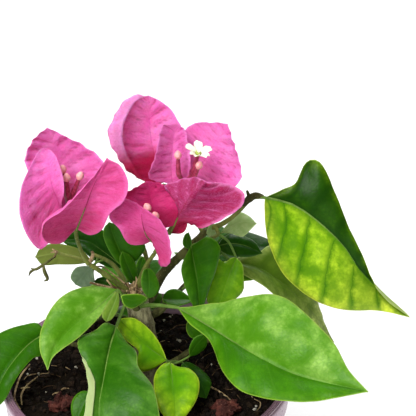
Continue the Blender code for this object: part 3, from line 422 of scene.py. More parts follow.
# %% Masses in view
MASSES = {
    "front_leaves": dict(limb="trunk", twigs=[([(-3.2, -7.0, 137.4), (-4.4, -8.8, 139.5),
        (-8, -9.5, 141)], [1.7, 1.3, 0.8])], leaves=[
        drawn("G", (0, 0.1), bulge=(0.08, 0.08), rib=[(13, -5.5, 136.5), (23.5, -14, 134.5),
            (34.5, -23, 132), (45.5, -33, 130.5), (59.5, -40, 127.5), (84, -49.5, 127)],
            left=[(18, -7.5, 138), (28, -10, 141), (37.5, -11.5, 144.5), (50, -15, 148),
            (56.5, -18.5, 147.5), (65, -27, 143.5), (72.5, -34, 138), (77.5, -42.5, 131.5)],
            right=[(18, -13, 133.5), (25, -20.5, 131.5), (28, -27.5, 128.5), (31, -36.5, 126.5),
            (37, -45, 124.5), (46.5, -47.5, 122.5), (56, -50.5, 123), (63.5, -51, 123.5),
            (70.5, -50.5, 124.5)]),
        drawn("H", (0, 1), bulge=(0.05, 0.12), rib=[(-10.5, -5.5, 145), (-18.5, -12, 140),
            (-27, -19, 136), (-33, -25.5, 131.5), (-36, -33, 125.5)], left=[(-12.5, -9, 142.5),
            (-17, -15, 138), (-24, -23, 134.5), (-30.5, -28, 131.5), (-34, -31, 129.5)],
            right=[(-14.5, -4.5, 145), (-21.5, -5, 146), (-29, -8, 145.5), (-35, -14, 142.5),
            (-39, -21.5, 137), (-39, -27.5, 131)]),
        drawn("I", (0, 0.9), bulge=(0.08, 0.1), rib=[(-11, -11.5, 131.5), (-13, -21.5, 128),
            (-14.5, -36, 123), (-15.5, -47.5, 117.5), (-13, -62, 103.5)], left=[(-7.5, -17.5, 129.5),
            (-2.5, -24.5, 128), (-1.5, -31, 125.5), (4, -40.5, 123.5), (6.5, -48, 119.5),
            (7, -53.5, 112.5), (0, -61.5, 106)], right=[(-15, -13, 134), (-19, -16.5, 132.5),
            (-24.5, -21, 133), (-25, -25.5, 131), (-22, -31.5, 126), (-20, -41.5, 122),
            (-21, -50, 116.5), (-22, -55, 109.5)]),
        drawn("S", (0, 0.1), rib=[(1.5, -7.5, 142), (2, -7, 148), (1.5, -5, 154)],
            left=[(-0.5, -8, 146), (-1, -8, 150.5), (0, -6.5, 154)], right=[(4, -7, 142.5),
            (6, -6, 145.5), (5, -5, 150), (3, -5, 153.5)]),
        drawn("T", (0, 0.1), rib=[(1.5, -8, 142.5), (-1.5, -10, 143), (-5, -12.5, 144),
            (-8.5, -14, 146.5)], left=[(-1, -10, 141), (-4.5, -13, 140.5), (-7.5, -14.5, 143)],
            right=[(-1.5, -9.5, 145), (-5.5, -12, 146.5), (-8, -13.5, 147)]),
        drawn("U", (0, 1), rib=[(-10, -9, 146.5), (-11, -10.5, 143), (-13, -13, 139),
            (-14.5, -15.5, 136)], left=[(-9.5, -10, 143.5), (-10, -12, 139.5), (-12.5, -14.5, 136.5)],
            right=[(-13.5, -11, 143), (-16, -14, 139.5), (-16, -15.5, 138)])]),
    "right_leaves": dict(twigs=[([(24.9, 13.6, 161.6), (31, 13.8, 164), (37, 14, 169), (42, 13.5, 175),
        (46, 12.5, 176.5)], [1.3, 1.0, 0.8, 0.8, 0.7]), ([(28, 13.7, 162.8), (29, 10, 161),
        (25, 7, 160.5), (20.5, 6, 158.8)], [0.8, 0.7, 0.7, 0.6])], leaves=[
        drawn("A", (0, 1), bulge=(0.05, 0.08), rib=[(47.5, 12, 176.5), (58.5, 12, 173.5),
            (69, 10.5, 166.5), (79, 6, 158), (86.5, 2.5, 148), (106.5, 0, 128.5)], left=[(54, 16, 178),
            (59.5, 20, 179), (65, 24, 187), (69.5, 22, 187.5), (75, 17, 178.5), (81.5, 9, 164.5),
            (88, 2, 152), (92.5, -4, 143)], right=[(47.5, 11, 172), (49, 8, 160), (54, 3, 149),
            (62, -1, 141.5), (70, -3, 137), (81.5, -4, 134), (95, -2, 132.5)]),
        drawn("B", (0, 0.05), bulge=(0.08, 0.08), rib=[(35, 20.5, 142.5), (46, 24, 138),
            (57.5, 24, 130), (67.5, 22, 120.5), (80, 26.5, 99.5)], left=[(39.5, 26, 142.5),
            (46, 29, 142.5), (51.5, 34, 143.5), (60, 36.5, 139.5), (69.5, 30, 125), (76, 26.5, 107)],
            right=[(39.5, 17, 139), (46, 17, 135), (53.5, 14.5, 129.5), (64, 18.5, 115)]),
        drawn("C", (0, 0.15), bulge=(0.1, 0.1), rib=[(29, 19, 151), (34, 18.5, 152.5),
            (40.5, 19.5, 151), (47.5, 20, 147)], left=[(31, 22, 153), (35.5, 25, 154), (41, 24, 152.5),
            (44.5, 23.5, 150.5)], right=[(31.5, 16, 149.5), (37, 15.5, 148), (42.5, 17, 147)]),
        drawn("D", (0, 0.15), rib=[(30, 18, 157.5), (35, 17, 161.5), (39.5, 15, 164.5),
            (44.5, 13, 164.5)], left=[(33, 20, 160.5), (37.5, 22, 165), (41.5, 18, 165.5)],
            right=[(34, 15, 159), (39, 11, 159.5), (42, 11, 162.5)]),
        drawn("D2", (0, 0.05), rib=[(26, 12, 158.5), (26.5, 12.5, 161.5), (27, 14, 164.5)],
            left=[(24.5, 11, 161), (25.5, 12, 164)], right=[(28, 13, 159.5), (28.5, 14, 162)]),
        drawn("W", (1, 1), rib=[(18, 8, 155), (16.5, 7, 159.5), (17.5, 9, 162.5)],
            left=[(15.5, 6.5, 157.5), (15, 6, 160), (16, 7.5, 162.5)], right=[(18.5, 8, 157),
            (18.5, 8.5, 159.5)]),
        drawn("E", (1, 1), bulge=(0.1, 0.1), rib=[(18.5, 6, 158), (19.5, 3, 152.5), (21, -1.5, 145),
            (22, -5.5, 131.5)], left=[(22, 5, 161), (25, 4.5, 163), (28.5, 3.5, 161.5), (30, 2, 159),
            (28.5, -0.5, 151.5), (25.5, -2.5, 143)], right=[(17, 4, 156.5), (14.5, 0, 151.5),
            (15.5, -3, 146.5), (18, -5, 139.5)]),
        drawn("F", (1, 0.3), bulge=(0.1, 0.1), rib=[(36.5, 12, 149.5), (34.5, 9, 145.5),
            (32.5, 6, 140.5), (28.5, 1.5, 130)], left=[(39, 10, 147.5), (39.5, 7.5, 143.5),
            (39, 4.5, 137.5)], right=[(34.5, 11, 150), (32, 10, 148.5), (29.5, 9, 150.5),
            (28, 8, 146.5), (26.5, 6.5, 143), (24.5, 3, 135)])]),
    "low_shoot": dict(twigs=[([(9, -7.5, 97.4), (8.5, -9, 106), (8, -10, 114)], [1.3, 1.0, 0.8])],
        leaves=[
        drawn("J", (0, 0.95), bulge=(0.08, 0.08), rib=[(8.5, -10.5, 115), (2, -9, 119.5),
            (-4, -7, 124.5), (-10.5, -5, 131)], left=[(2.5, -13, 112), (-3, -14, 112),
            (-3.5, -12.5, 115.5), (-2.5, -10, 118.5), (-7.5, -8, 122.5), (-11, -6, 126.5)],
            right=[(7.5, -9.5, 118), (4.5, -7.5, 123.5), (0.5, -6, 128), (-4.5, -6, 132)]),
        drawn("K", (0, 1), bulge=(0.08, 0.08), rib=[(10, -10, 113.5), (11, -18, 110.5), (12, -28, 107),
            (12.5, -37, 102)], left=[(12.5, -12, 113), (18, -15, 113.5), (21.5, -20, 112),
            (21, -26, 108), (17, -32, 104)], right=[(7, -12, 114), (4, -18, 113), (4, -25, 110.5),
            (6.5, -32, 105.5)]),
        drawn("L1", (0, 0.9), rib=[(17.5, -2, 111), (20, -2, 116), (24.5, -1, 121.5)],
            left=[(17.5, -2.5, 116), (20, -2, 120.5)], right=[(21, -1, 111.5), (24.5, 0, 115)]),
        drawn("L2", (0, 0.9), rib=[(14.5, -3, 109), (18, -7, 108), (22, -12, 105.5), (24.5, -17, 101)],
            left=[(17.5, -3, 109), (23, -5, 106.5), (26.5, -10, 104)], right=[(14, -9, 108),
            (16.5, -14, 105), (20.5, -18, 103)])]),
    "left_leaves": dict(limb="trunk", twigs=[([(-7.4, 0.5, 104), (-14, -2, 110), (-26, -2, 116),
        (-36, -3, 118.5)], [1.5, 1.2, 1.0, 0.8])], leaves=[
        drawn("M", (0, 1), bulge=(0.08, 0.1), rib=[(-40, -4, 123.5), (-45.5, -8, 122), (-51, -15, 119),
            (-56, -22, 113.5), (-60, -27, 102.5)], left=[(-40.5, -8, 120), (-41.5, -12, 118),
            (-44, -15, 119), (-49.5, -22, 115), (-55, -27, 106.5)], right=[(-43.5, -2, 127),
            (-48.5, -3, 127), (-55, -5, 126), (-62.5, -9, 123.5), (-66.5, -16, 118.5),
            (-65.5, -23, 110)]),
        leaf("N", (0, 0.2), (-20.5, -28, 112), -120, -30, 0, 16, 10)]),
    "back_left_leaves": dict(limb="trunk", twigs=[([(-7.5, 4.5, 136), (-9, 9, 140), (-14, 13, 146),
        (-22, 16, 149)], [1.4, 1.1, 0.9, 0.7])], leaves=[
        drawn("O", (0, 1), bulge=(0.1, 0.1), rib=[(-22, 13, 147), (-30, 15.5, 148.5), (-38, 19, 147.5),
            (-46.5, 22.5, 144)], left=[(-26, 15, 151), (-34, 18.5, 152), (-39.5, 20, 151.5),
            (-44.5, 22, 148)], right=[(-28, 12.5, 146), (-36.5, 15, 144.5), (-43.5, 19.5, 142)]),
        drawn("P", (0, 0.3), bulge=(0.1, 0.1), rib=[(-9.5, 17, 142), (-17.5, 20, 147.5),
            (-25.5, 23, 151.5), (-36, 24.5, 151)], left=[(-14.5, 16.5, 142), (-21.5, 17.5, 145),
            (-27.5, 20.5, 148.5), (-32.5, 22, 149.5)], right=[(-10, 18.5, 146.5), (-15, 22, 152.5),
            (-19.5, 23.5, 157), (-27.5, 24, 157.5)]),
        drawn("P2", (0, 0.2), bulge=(0.1, 0.1), rib=[(-7.5, 7, 147.5), (-10, 8, 154),
            (-12.5, 9, 160.5), (-14, 8, 167.5)], left=[(-11, 6, 150.5), (-14.5, 6.5, 156),
            (-16.5, 7, 162), (-16, 7.5, 165.5)], right=[(-3.5, 9, 150), (0, 10, 155), (-2, 11, 159),
            (-8.5, 10, 165)]),
        drawn("R", (0, 0.1), rib=[(-4, 5, 141.5), (-6, 4.5, 147.5), (-7.5, 4.5, 151.5),
            (-9, 6, 155.5)], left=[(-7, 2.5, 144.5), (-9.5, 2.5, 150), (-10, 4, 154)],
            right=[(-3, 5.5, 144.5), (-3.5, 6, 149), (-6, 6.5, 153.5)]),
        drawn("R2", (0, 0.1), rib=[(-3.5, 6.5, 141.5), (-2.5, 6.5, 145), (-2, 7, 148.5),
            (-1, 9, 151.5)], left=[(-4.5, 5.5, 145), (-4, 5.5, 148.5), (-2.5, 7.5, 151.5)],
            right=[(-1, 7, 143.5), (0, 8, 146.5), (0, 8.5, 150)]),
        drawn("Q", (0, 0.8), rib=[(-22.5, 12, 145.5), (-24.5, 11.5, 143), (-26.5, 11, 140.5),
            (-29, 10, 138)], left=[(-21, 9, 142.5), (-22, 8, 139), (-26, 8.5, 137.5)],
            right=[(-26, 13, 145), (-29, 13, 144), (-31, 11.5, 140.5)]),
        drawn("Q2", (0, 0.9), rib=[(-22, 16, 136), (-19, 15, 137), (-14.5, 14, 136)],
            left=[(-20.5, 17, 137), (-17, 16, 138)], right=[(-20, 13.5, 135.5), (-17, 12.5, 135.5)])]),
    "back_bracts": dict(limb="bough_right", twigs=[([(22, 15.6, 161), (19, 24, 164), (15, 33, 168),
        (14, 36, 172)], [0.9, 0.8, 0.7, 0.8])], leaves=[
        bract("b_left", (0, 0.97), (13, 36, 172), 175, 40, 0, 30, 28),
        bract("b_right", (0, 0.97), (15, 36, 172), 20, 42, 0, 25, 26),
        bract("b_back", (0, 0.97), (14, 37, 172), 95, 15, 0, 30, 29)]),
    "left_bracts": dict(twigs=[([(-21, -8.8, 158), (-22.5, -9.5, 161), (-24.5, -12, 170),
        (-25, -12.5, 175.5), (-26.5, -11.5, 181)], [0.9, 0.7, 0.7, 0.9, 1.1])], leaves=[
        drawn("front", (0, 0.75), bulge=(0.15, 0.12), rib=[(-24.5, -13, 175.5), (-22, -17, 182.5),
            (-19.5, -19, 189), (-17, -19, 195.5), (-11.5, -17, 206.5)], left=[(-19, -18, 175.5),
            (-13.5, -22, 180), (-10.5, -24, 188), (-5.5, -24, 193.5), (-4, -21, 198.5),
            (-7, -18, 204.5)], right=[(-29.5, -19, 172.5), (-35.5, -24, 176.5), (-35.5, -26, 184.5),
            (-28.5, -26, 190), (-22.5, -24, 194.5), (-17, -20, 200.5)]),
        drawn("left", (0, 1), bulge=(-0.15, -0.1), rib=[(-29, -13, 182.5), (-31, -14, 189),
            (-32.5, -15, 195.5), (-33, -14, 201.5), (-32.5, -12, 207.5)], left=[(-31.5, -18, 177),
            (-37, -22, 171.5), (-41.5, -24, 177.5), (-43.5, -24, 188), (-42, -21, 197),
            (-38, -16, 205), (-35.5, -13, 208.5)], right=[(-28.5, -17, 188.5), (-27.5, -19, 194.5),
            (-28.5, -18, 201), (-30, -15, 205.5)]),
        drawn("back", (0, 1), bulge=(-0.15, -0.15), rib=[(-28.5, -11, 181.5), (-28.5, -5, 191.5),
            (-30.5, -2, 197.5), (-32.5, -1, 204.5), (-34.5, -3, 212.5)], left=[(-33.5, -10, 188),
            (-39.5, -11, 195.5), (-42.5, -9, 201.5), (-40, -5, 208)], right=[(-18.5, -9, 187.5),
            (-12.5, -9, 195), (-14, -6, 200.5), (-22, -3, 206.5), (-29.5, -2, 209.5)])]),
    "right_bracts": dict(twigs=[([(4.3, -0.6, 158.6), (7, -1, 164), (11, -0.5, 170), (14, 0, 177),
        (15.5, 0, 184), (16, 0, 188)], [0.9, 0.8, 0.8, 0.8, 0.8, 1.1]), ([(7, -1, 164), (8, -7, 168),
        (8.5, -12, 172), (8.5, -13, 174.5)], [0.7, 0.6, 0.7, 1.1]), ([(14, 0, 177), (11, 4, 181),
        (8, 6, 185)], [0.7, 0.6, 0.7])], leaves=[
        drawn("top", (2, 1), bulge=(-0.12, -0.12), rib=[(5, 8, 183.5), (4.5, 13, 192.5),
            (3, 16, 199.5), (2.5, 16, 208.5), (2.5, 13, 219)], left=[(0, 5, 187), (-6.5, 3, 193.5),
            (-11, 2, 202.5), (-11.5, 4, 209.5), (-8.5, 8, 215), (-4, 10, 219.5)], right=[(11, 6, 188),
            (17, 6, 199.5), (15.5, 9, 207.5), (11.5, 12, 213), (6.5, 13, 217.5)]),
        drawn("r_back", (0, 1), bulge=(-0.12, -0.12), rib=[(18.5, 0, 189.5), (23, 5, 194.5),
            (26.5, 8, 200), (29.5, 9, 204.5), (32.5, 8, 209.5)], left=[(13.5, 4, 191.5),
            (14.5, 10, 198), (16.5, 12, 205.5), (21, 12, 208.5), (26.5, 11, 209)],
            right=[(30.5, -6, 187.5), (37, -6, 192.5), (36, -2, 201), (34, 3, 205)]),
        drawn("r_left", (0, 0.9), bulge=(-0.1, -0.15), rib=[(11.5, 0, 188), (11, 4, 193),
            (11.5, 6, 199.5), (12, 6, 205.5), (13, 5, 210.5)], left=[(2.5, -4, 192.5), (5.5, -2, 200),
            (7, 1, 206), (8, 3, 210.5)], right=[(16.5, -1, 190), (18.5, 0, 196), (18, 2, 203.5),
            (16.5, 4, 209)]),
        drawn("r_front", (1, 1), bulge=(0.15, 0.0), rib=[(11, -14, 174), (13.5, -20, 182),
            (16, -24, 189.5), (19, -24, 194.5), (24.5, -17, 197)], left=[(16, -20, 177.5),
            (18.5, -22, 183), (22, -27, 182.5), (29, -27, 186), (37, -22, 188.5), (38.5, -18, 192.5),
            (33, -16, 195.5)], right=[(12, -18, 179.5), (15.5, -20, 189), (16, -16, 190.5),
            (8, -8, 191.5), (15.5, -8, 194.5), (20.5, -11, 196)]),
        drawn("m_back", (1, 1), bulge=(-0.1, -0.1), rib=[(7.5, -12, 175), (5, -8, 179.5),
            (3.5, -6, 183), (3, -5, 187), (2, -6, 192)], left=[(0.5, -12, 181.5), (-6, -13, 186.5),
            (-7.5, -12, 189), (-4, -9, 190)], right=[(12.5, -12, 177), (17.5, -12, 186), (17, -9, 188),
            (8, -7, 191.5)]),
        drawn("m_left", (1, 0.95), bulge=(0.1, 0.15), rib=[(4, -15, 171.5), (2, -19, 177),
            (1, -21, 183), (0.5, -20, 187), (-1.5, -17, 188.5)], left=[(6.5, -19, 169.5),
            (7, -22, 164.5), (10.5, -23, 165.5), (11.5, -24, 174), (9.5, -24, 181.5), (4, -21, 186)],
            right=[(0.5, -19, 172), (-4.5, -21, 173.5), (-8, -20, 179.5), (-11.5, -17, 181.5),
            (-11, -15, 185.5), (-7, -14, 188.5)])]),
}
# each tube of the blossom: its twig, its bend, its tip, and whether its flower is open
BLOSSOM = {
    "left_bracts": [((0, 1), (-28, -12, 191), (-28.5, -11.5, 200), False),
                    ((0, 1), (-27, -13, 190), (-27, -13.5, 197.5), False),
                    ((0, 1), (-25, -12, 190), (-22, -12, 197.5), False)],
    "right_bracts": [((0, 1), (19.5, -3, 194), (21.5, -5, 203.5), True),
                     ((0, 1), (14, -3, 194), (13.8, -3, 202), False),
                     ((0, 1), (19.5, -5, 192.5), (22, -7, 199.5), False),
                     ((1, 1), (6, -17, 180), (2.5, -18, 187.5), False),
                     ((1, 1), (7, -18, 179), (5.5, -19, 184.5), False)],
}
print("blades set one by one:", sum(len(parts["leaves"]) for parts in MASSES.values()))

# %% [markdown]
# ## Shoots round the sides and back
# The rest of the crown grows by a rule.  Leaves stand alternately left and right along a
# stem, each a little different by a seeded dice.  A leaf that would leave its mass's
# space, or come near what already stands, is tried smaller and turned, and then left out.

# %% Grow the other shoots
# each shoot's seed, its stem, how many leaves of what length it tries, and its space
OTHER_SHOOTS = {
    "right_low_leaves": (3, ([(9.2, 4.5, 103), (18, 7, 108), (28, 9, 113), (38, 10, 116)],
                             [1.6, 1.2, 1.0, 0.8]), 6, 38, ((14, -14, 99), (66, 44, 132))),
    "back_right_leaves": (11, ([(5.5, 6.5, 128), (12, 16, 130), (19, 28, 132), (24, 40, 133)],
                               [1.6, 1.2, 1.0, 0.8]), 8, 46, ((8, 12, 98), (84, 84, 152))),
    "back_leaves": (5, ([(-1.5, 7.6, 116), (-4, 18, 118), (-7, 28, 118), (-9, 38, 117)],
                        [1.6, 1.2, 1.0, 0.8]), 8, 42, ((-38, 10, 92), (12, 84, 128))),
    "back_left_high": (8, ([(-0.2, 4.9, 140.5), (0.5, 12, 147), (-4, 22, 154), (-14, 31, 160)],
                           [1.3, 1.0, 0.9, 0.8]), 7, 38, ((-40, 8, 128), (6, 84, 190))),
}
FIRST_LEAVES = {"back_right_leaves": [leaf("V", (0, 0.1), (6.5, 11, 130.5), 8, -4, 25, 14, 9,
                                           arch=10)]}
BLADE_RATIO = 0.58            # width to length of an ordinary leaf
CLEARANCE = 4.5               # least distance between the masses' sample points
RIM_RINGS = [(57.5, 104), (60, 101), (59.5, 96), (58, 91)]
# the sizes, turns and lifts that a leaf is tried with, one after the other
TRIES = ((1.0, 0, 0), (0.9, -20, 0), (0.85, 15, 12), (0.8, -30, -12), (0.7, 0, 0),
         (0.65, 25, 0), (0.55, 0, 15))


def along_twig(points, part):
    """The point a given part (0 to 1) of the way along a twig's points, and its heading."""
    points = np.array(points, float)
    spot = min(max(part, 0), 1) * (len(points) - 1)
    first = min(int(spot), len(points) - 2)
    step = points[first + 1] - points[first]
    return points[first] + step * (spot - first), math.degrees(math.atan2(step[1], step[0]))


def spread_along(points, steps):
    """Points at even parts of a twig."""
    return [along_twig(points, step / steps)[0] for step in range(steps + 1)]


def root_of(row, twigs):
    """Where a blade's stalk leaves its twig."""
    return along_twig(twigs[row["at"][0]][0], row["at"][1])[0]


def samples(row):
    """Points spread over a blade, to test it against its neighbours."""
    u, v = np.meshgrid(np.linspace(0, 1, 13), np.linspace(-1, 1, 7), indexing="ij")
    return blade_points(row, u.ravel(), v.ravel(), narrowest=0.7)


def standing():
    """Points of everything placed so far: pot rim, limbs, twigs and blades."""
    points = [(radius * math.cos(math.radians(turn)), radius * math.sin(math.radians(turn)),
               height) for turn in range(0, 360, 5) for radius, height in RIM_RINGS]
    for limb_points, _ in LIMBS.values():
        points += spread_along(limb_points, 20)
    for parts in MASSES.values():
        for twig_points, _ in parts["twigs"]:
            points += spread_along(twig_points, 12)
        for row in parts["leaves"]:
            points += [*samples(row), *spread_along([root_of(row, parts["twigs"]), row["foot"]], 6)]
    return np.array(points)


def grown(seed, stem, count, longest, space, first_leaves):
    """Leaves alternating up a shoot, each fitted to its space and its neighbours."""
    dice = random.Random(seed)
    low, high = np.array(space, float)
    taken = standing()
    rows = list(first_leaves)
    for number in range(count):
        along = (number + 1) / count
        place, heading = along_twig(stem[0], along)
        hand = 0 if along == 1 else (1 if number % 2 else -1)
        lean = dice.uniform(38, 72)
        rise = -22 + 30 * along + dice.uniform(-10, 10)
        roll, arch, fold = dice.uniform(-18, 18), dice.uniform(25, 45), dice.uniform(8, 20)
        full = longest * dice.uniform(0.8, 1.1)
        for size, swing, lift in TRIES:
            turn, long = heading + hand * (lean + swing), full * size
            foot = place + turned(turn, rise + lift + 15, 0)[:, 0] * long * 0.18
            row = leaf("%02d" % number, (0, along), tuple(foot), turn, rise + lift, roll, long,
                       long * BLADE_RATIO, arch=arch, fold=fold)
            edge = samples(row)
            if (edge < low).any() or (edge > high).any():
                continue
            if np.linalg.norm(edge[:, None] - taken[None], axis=2).min() > CLEARANCE:
                rows.append(row)
                break
    return rows


for name, shoot in OTHER_SHOOTS.items():
    leaves = grown(*shoot, FIRST_LEAVES.get(name, ()))
    MASSES[name] = dict(limb="trunk", twigs=[shoot[1]], leaves=leaves)
    print(name, "has", len(leaves), "leaves")

# %% [markdown]
# ## Gathering shells into one piece
# A leaf is a thin closed shell: an upper face, a lower face and a strip that joins their
# rims.  Modelling it closed, and not as a sheet, gives it two sides that can differ, and a
# rim that catches the light.  All the leaves of a mass are gathered into one mesh.  Every
# point keeps a few numbers that the materials read: how far it lies along a side vein's
# rhythm, how far from the midrib, how far along the blade, and which face it is on.  Each
# face of each leaf also gets its own place on a map, so nothing lies over anything else
# if the colours are ever painted onto an image.


# %% Shells into pieces
def piece_of(name, points, faces, slots, materials):
    """Points in mm and faces, each with its slot, as one object that rides with the plant."""
    mesh = bpy.data.meshes.new(name)
    mesh.from_pydata(np.array(points) * MM, [], faces)
    for made in materials:
        mesh.materials.append(made)
    mesh.polygons.foreach_set("material_index", slots)
    mesh.shade_smooth()
    made = placed(name, mesh)
    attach(made, "root")
    return made


def gather(name, shells, materials):
    """Joins (points, faces, slot) shells into one object."""
    points, faces, slots = [], [], []
    for shell, shell_faces, slot in shells:
        faces += [[corner + len(points) for corner in face] for face in shell_faces]
        slots += [slot] * len(shell_faces)
        points += list(shell)
    return piece_of(name, points, faces, slots, materials)


def gather_blades(name, shells, materials):
    """Joins blades into one object that keeps their numbers and their places on the map."""
    firsts = np.cumsum([0] + [len(shell["points"]) for shell in shells])
    faces = np.concatenate([shell["faces"] + first for shell, first in zip(shells, firsts)])
    joined = {key: np.concatenate([shell[key] for shell in shells])
              for key in ("points", "slots", "vein", "blade", "spots")}
    made = piece_of(name, joined["points"], faces.tolist(), joined["slots"].tolist(), materials)
    for title in ("vein", "blade"):
        kept = made.data.attributes.new(title, "FLOAT_VECTOR", "POINT")
        kept.data.foreach_set("vector", joined[title].astype(np.float32).ravel())
    corners, scale = shelves([shell["size"] for shell in shells for _ in range(2)])
    islands = np.concatenate([shell["islands"] + 2 * order for order, shell in enumerate(shells)])
    layer = made.data.uv_layers.new(name="OFBake")
    spots = np.array(corners)[islands] + joined["spots"] * scale
    layer.uv.foreach_set("vector", spots.astype(np.float32).ravel())
    return made


def shelves(sizes, gap=0.8):
    """Sets rectangles (mm) on shelves in a unit square: their corners, and the scale."""
    order = sorted(range(len(sizes)), key=lambda index: -sizes[index][1])
    scale = 1.0 / math.sqrt(sum((w + gap) * (h + gap) for w, h in sizes))
    while True:
        corners, x, y, tall = [None] * len(sizes), gap, gap, 0.0
        for index in order:
            wide, high = sizes[index]
            if (x + wide + gap) * scale > 1:
                x, y, tall = gap, y + tall + gap, 0.0
            corners[index] = (x * scale, y * scale)
            x, tall = x + wide + gap, max(tall, high)
        if (y + tall + gap) * scale <= 1 and max(w for w, _ in sizes) * scale < 0.95:
            return corners, scale
        scale *= 0.97


print("one square holds four", shelves([(10, 10)] * 4)[0])

# %% [markdown]
# ## From a row to a shell
# The grid of a blade is denser towards its foot and tip, where the outline turns quickly.
# On top of the source's rule come the details that only a close look shows: tissue
# that puffs a little between the side veins, a midrib sunk in the upper face, soft
# unevenness, and for a bract the creases of thin paper.

# %% Blades as shells
LEAF_THICK = 0.30
BRACT_THICK = 0.20
PAPER = 0.60                  # depth of a bract's creases
VEIN_LEAN = 0.20              # how far a side vein runs forward before it meets the rim
RIM_SPOT = 0.12               # width on the map of the strip that joins the two faces


def crinkle(points, size, seed):
    """Smooth unevenness at points, about -1 to 1, with hills about size mm wide."""
    shift = Vector((seed * 7.31, seed * 3.17, seed * 1.73))
    return np.array([noise.fractal(Vector(point) / size + shift, 0.9, 2.0, 3)
                     for point in points.reshape(-1, 3)]).reshape(points.shape[:-1])


def grid_faces(rows, columns):
    """Quads of an upper and a lower grid and of the strip between them, and their kinds."""
    index = np.arange(rows * columns).reshape(rows, columns)
    under = rows * columns
    top = np.stack([index[:-1, :-1], index[1:, :-1], index[1:, 1:], index[:-1, 1:]], -1)
    top = top.reshape(-1, 4)
    rim = np.concatenate([index[:, 0], index[-1, 1:], index[-2::-1, -1], index[0, -2:0:-1]])
    nxt = np.roll(rim, -1)
    strip = np.stack([rim, rim + under, nxt + under, nxt], -1)
    faces = np.concatenate([top, top[:, [0, 3, 2, 1]] + under, strip])
    return faces, np.repeat((0, 1, 2), (len(top), len(top), len(strip)))


def creases(middle, phase, across, half, side, curled, seed):
    """Relief of crumpled paper in mm, and how high in a crease each point lies, 0 to 1."""
    calm = np.minimum(1, across * half / 3) * np.minimum(1, half / 5)
    calm = calm * np.clip(((0.95 if curled else 1.15) - across) / 0.3, 0, 1)
    bend = phase * 1.6 + 0.25 * crinkle(middle, 12, seed + 3)
    pleated = np.abs((bend + 0.5 * side) % 1 - 0.5) * 2
    patches = np.clip(1.2 + 0.7 * crinkle(middle, 14, seed + 9), 0.5, 1.7)
    relief = 0.5 * PAPER * crinkle(middle, 4.5, seed + 5) * calm
    return (relief + 1.6 * PAPER * (pleated - 0.5) * patches * calm,
            0.5 + (pleated - 0.5) * np.minimum(1, patches) * calm ** 0.5)


def blade_shell(row, slot, other, veins, puff, curl, seed, papery):
    """One closed blade as arrays.  other is the slot of its upper face's left half."""
    finer = 1.5 if papery else 1.0
    rows = int(np.clip(row["long"] * 0.8 * finer, 18, 60 * finer))
    finer = 2.0 if curl and not papery else finer
    columns = 2 * int(np.clip(row["wide"] * 0.35 * finer, 5, 15 * finer)) + 1
    even = np.linspace(0, 1, rows)
    along = 0.55 * even + 0.45 * (0.5 - 0.5 * np.cos(np.pi * even))
    u, v = np.meshgrid(along, np.linspace(-1, 1, columns), indexing="ij")
    middle = blade_points(row, u, v, curl=curl)
    normal = np.cross(np.gradient(middle, axis=0), np.gradient(middle, axis=1))
    normal /= np.maximum(np.linalg.norm(normal, axis=-1, keepdims=True), 1e-9)
    across = np.abs(v)
    half = np.maximum(half_width(row, u, v), NARROWEST)
    phase = (u - VEIN_LEAN * across ** 1.2 * (1.2 - u)) * veins + 0.22 * v + 0.13 * seed
    swell = np.minimum(1.0, half / 5.0) * np.sin(np.pi * np.minimum(across, 1)) ** 0.8
    relief = puff * swell * (0.5 - 0.5 * np.cos(2 * np.pi * phase))
    relief -= 0.6 * puff * np.exp(-(across * half / 0.7) ** 2) * np.minimum(1, half / 4)
    hills = 0.035 if papery else 0.016
    relief += (hills * row["long"] * crinkle(middle, 16, seed) * across ** 0.7
               * np.minimum(1, half / 5))
    marks = np.full(u.shape, seed * 0.137 % 1)
    # a bract's marks say how high in a crease each point lies; its material paints shade low in the
    # creases and highlights on their crests from them
    if papery:
        paper, marks = creases(middle, phase, across, half, v > 0, curl is not None, seed)
        relief += paper
    middle = middle + normal * relief[..., None]
    thick = BRACT_THICK if papery else LEAF_THICK
    slim = thick * (0.35 + 0.65 * (1 - across ** 4)) * np.minimum(1, 0.3 + half / 2)
    rib = 0.8 * thick * np.exp(-(across * half / 0.6) ** 2)
    upper = middle + normal * (0.5 * slim)[..., None]
    lower = middle - normal * (0.5 * slim + rib)[..., None]

    def both(values):
        """Numbers of one face's points, for the points of both faces."""
        return np.tile(values.ravel(), 2)

    faces, kinds = grid_faces(rows, columns)
    flat = rows * columns
    base = faces % flat
    push = np.where(v.ravel() > 0, RIM_SPOT, -RIM_SPOT)[base]
    push = np.where((kinds == 2)[:, None] & (faces >= flat), push, 0.0)
    wide_spot = ((v + 1) * half + row["wide"] * 0.75 - half).ravel()[base] + push
    return dict(
        points=np.concatenate([upper.reshape(-1, 3), lower.reshape(-1, 3)]), faces=faces,
        slots=np.where((kinds == 0) & (both(v)[faces].mean(1) > 0), other, slot),
        vein=np.stack([both(phase), both(across * half), both(u)], -1),
        blade=np.stack([both(half * (1 - across)), both(marks), np.repeat((1, 0), flat)], -1),
        spots=np.stack([wide_spot, (u * row["long"]).ravel()[base]], -1).reshape(-1, 2),
        islands=np.repeat(kinds == 1, 4).astype(int), size=(row["wide"] * 1.5, row["long"]))


print("a blade 60 mm long has", int(np.clip(60 * 0.8, 18, 60)), "rows of points")
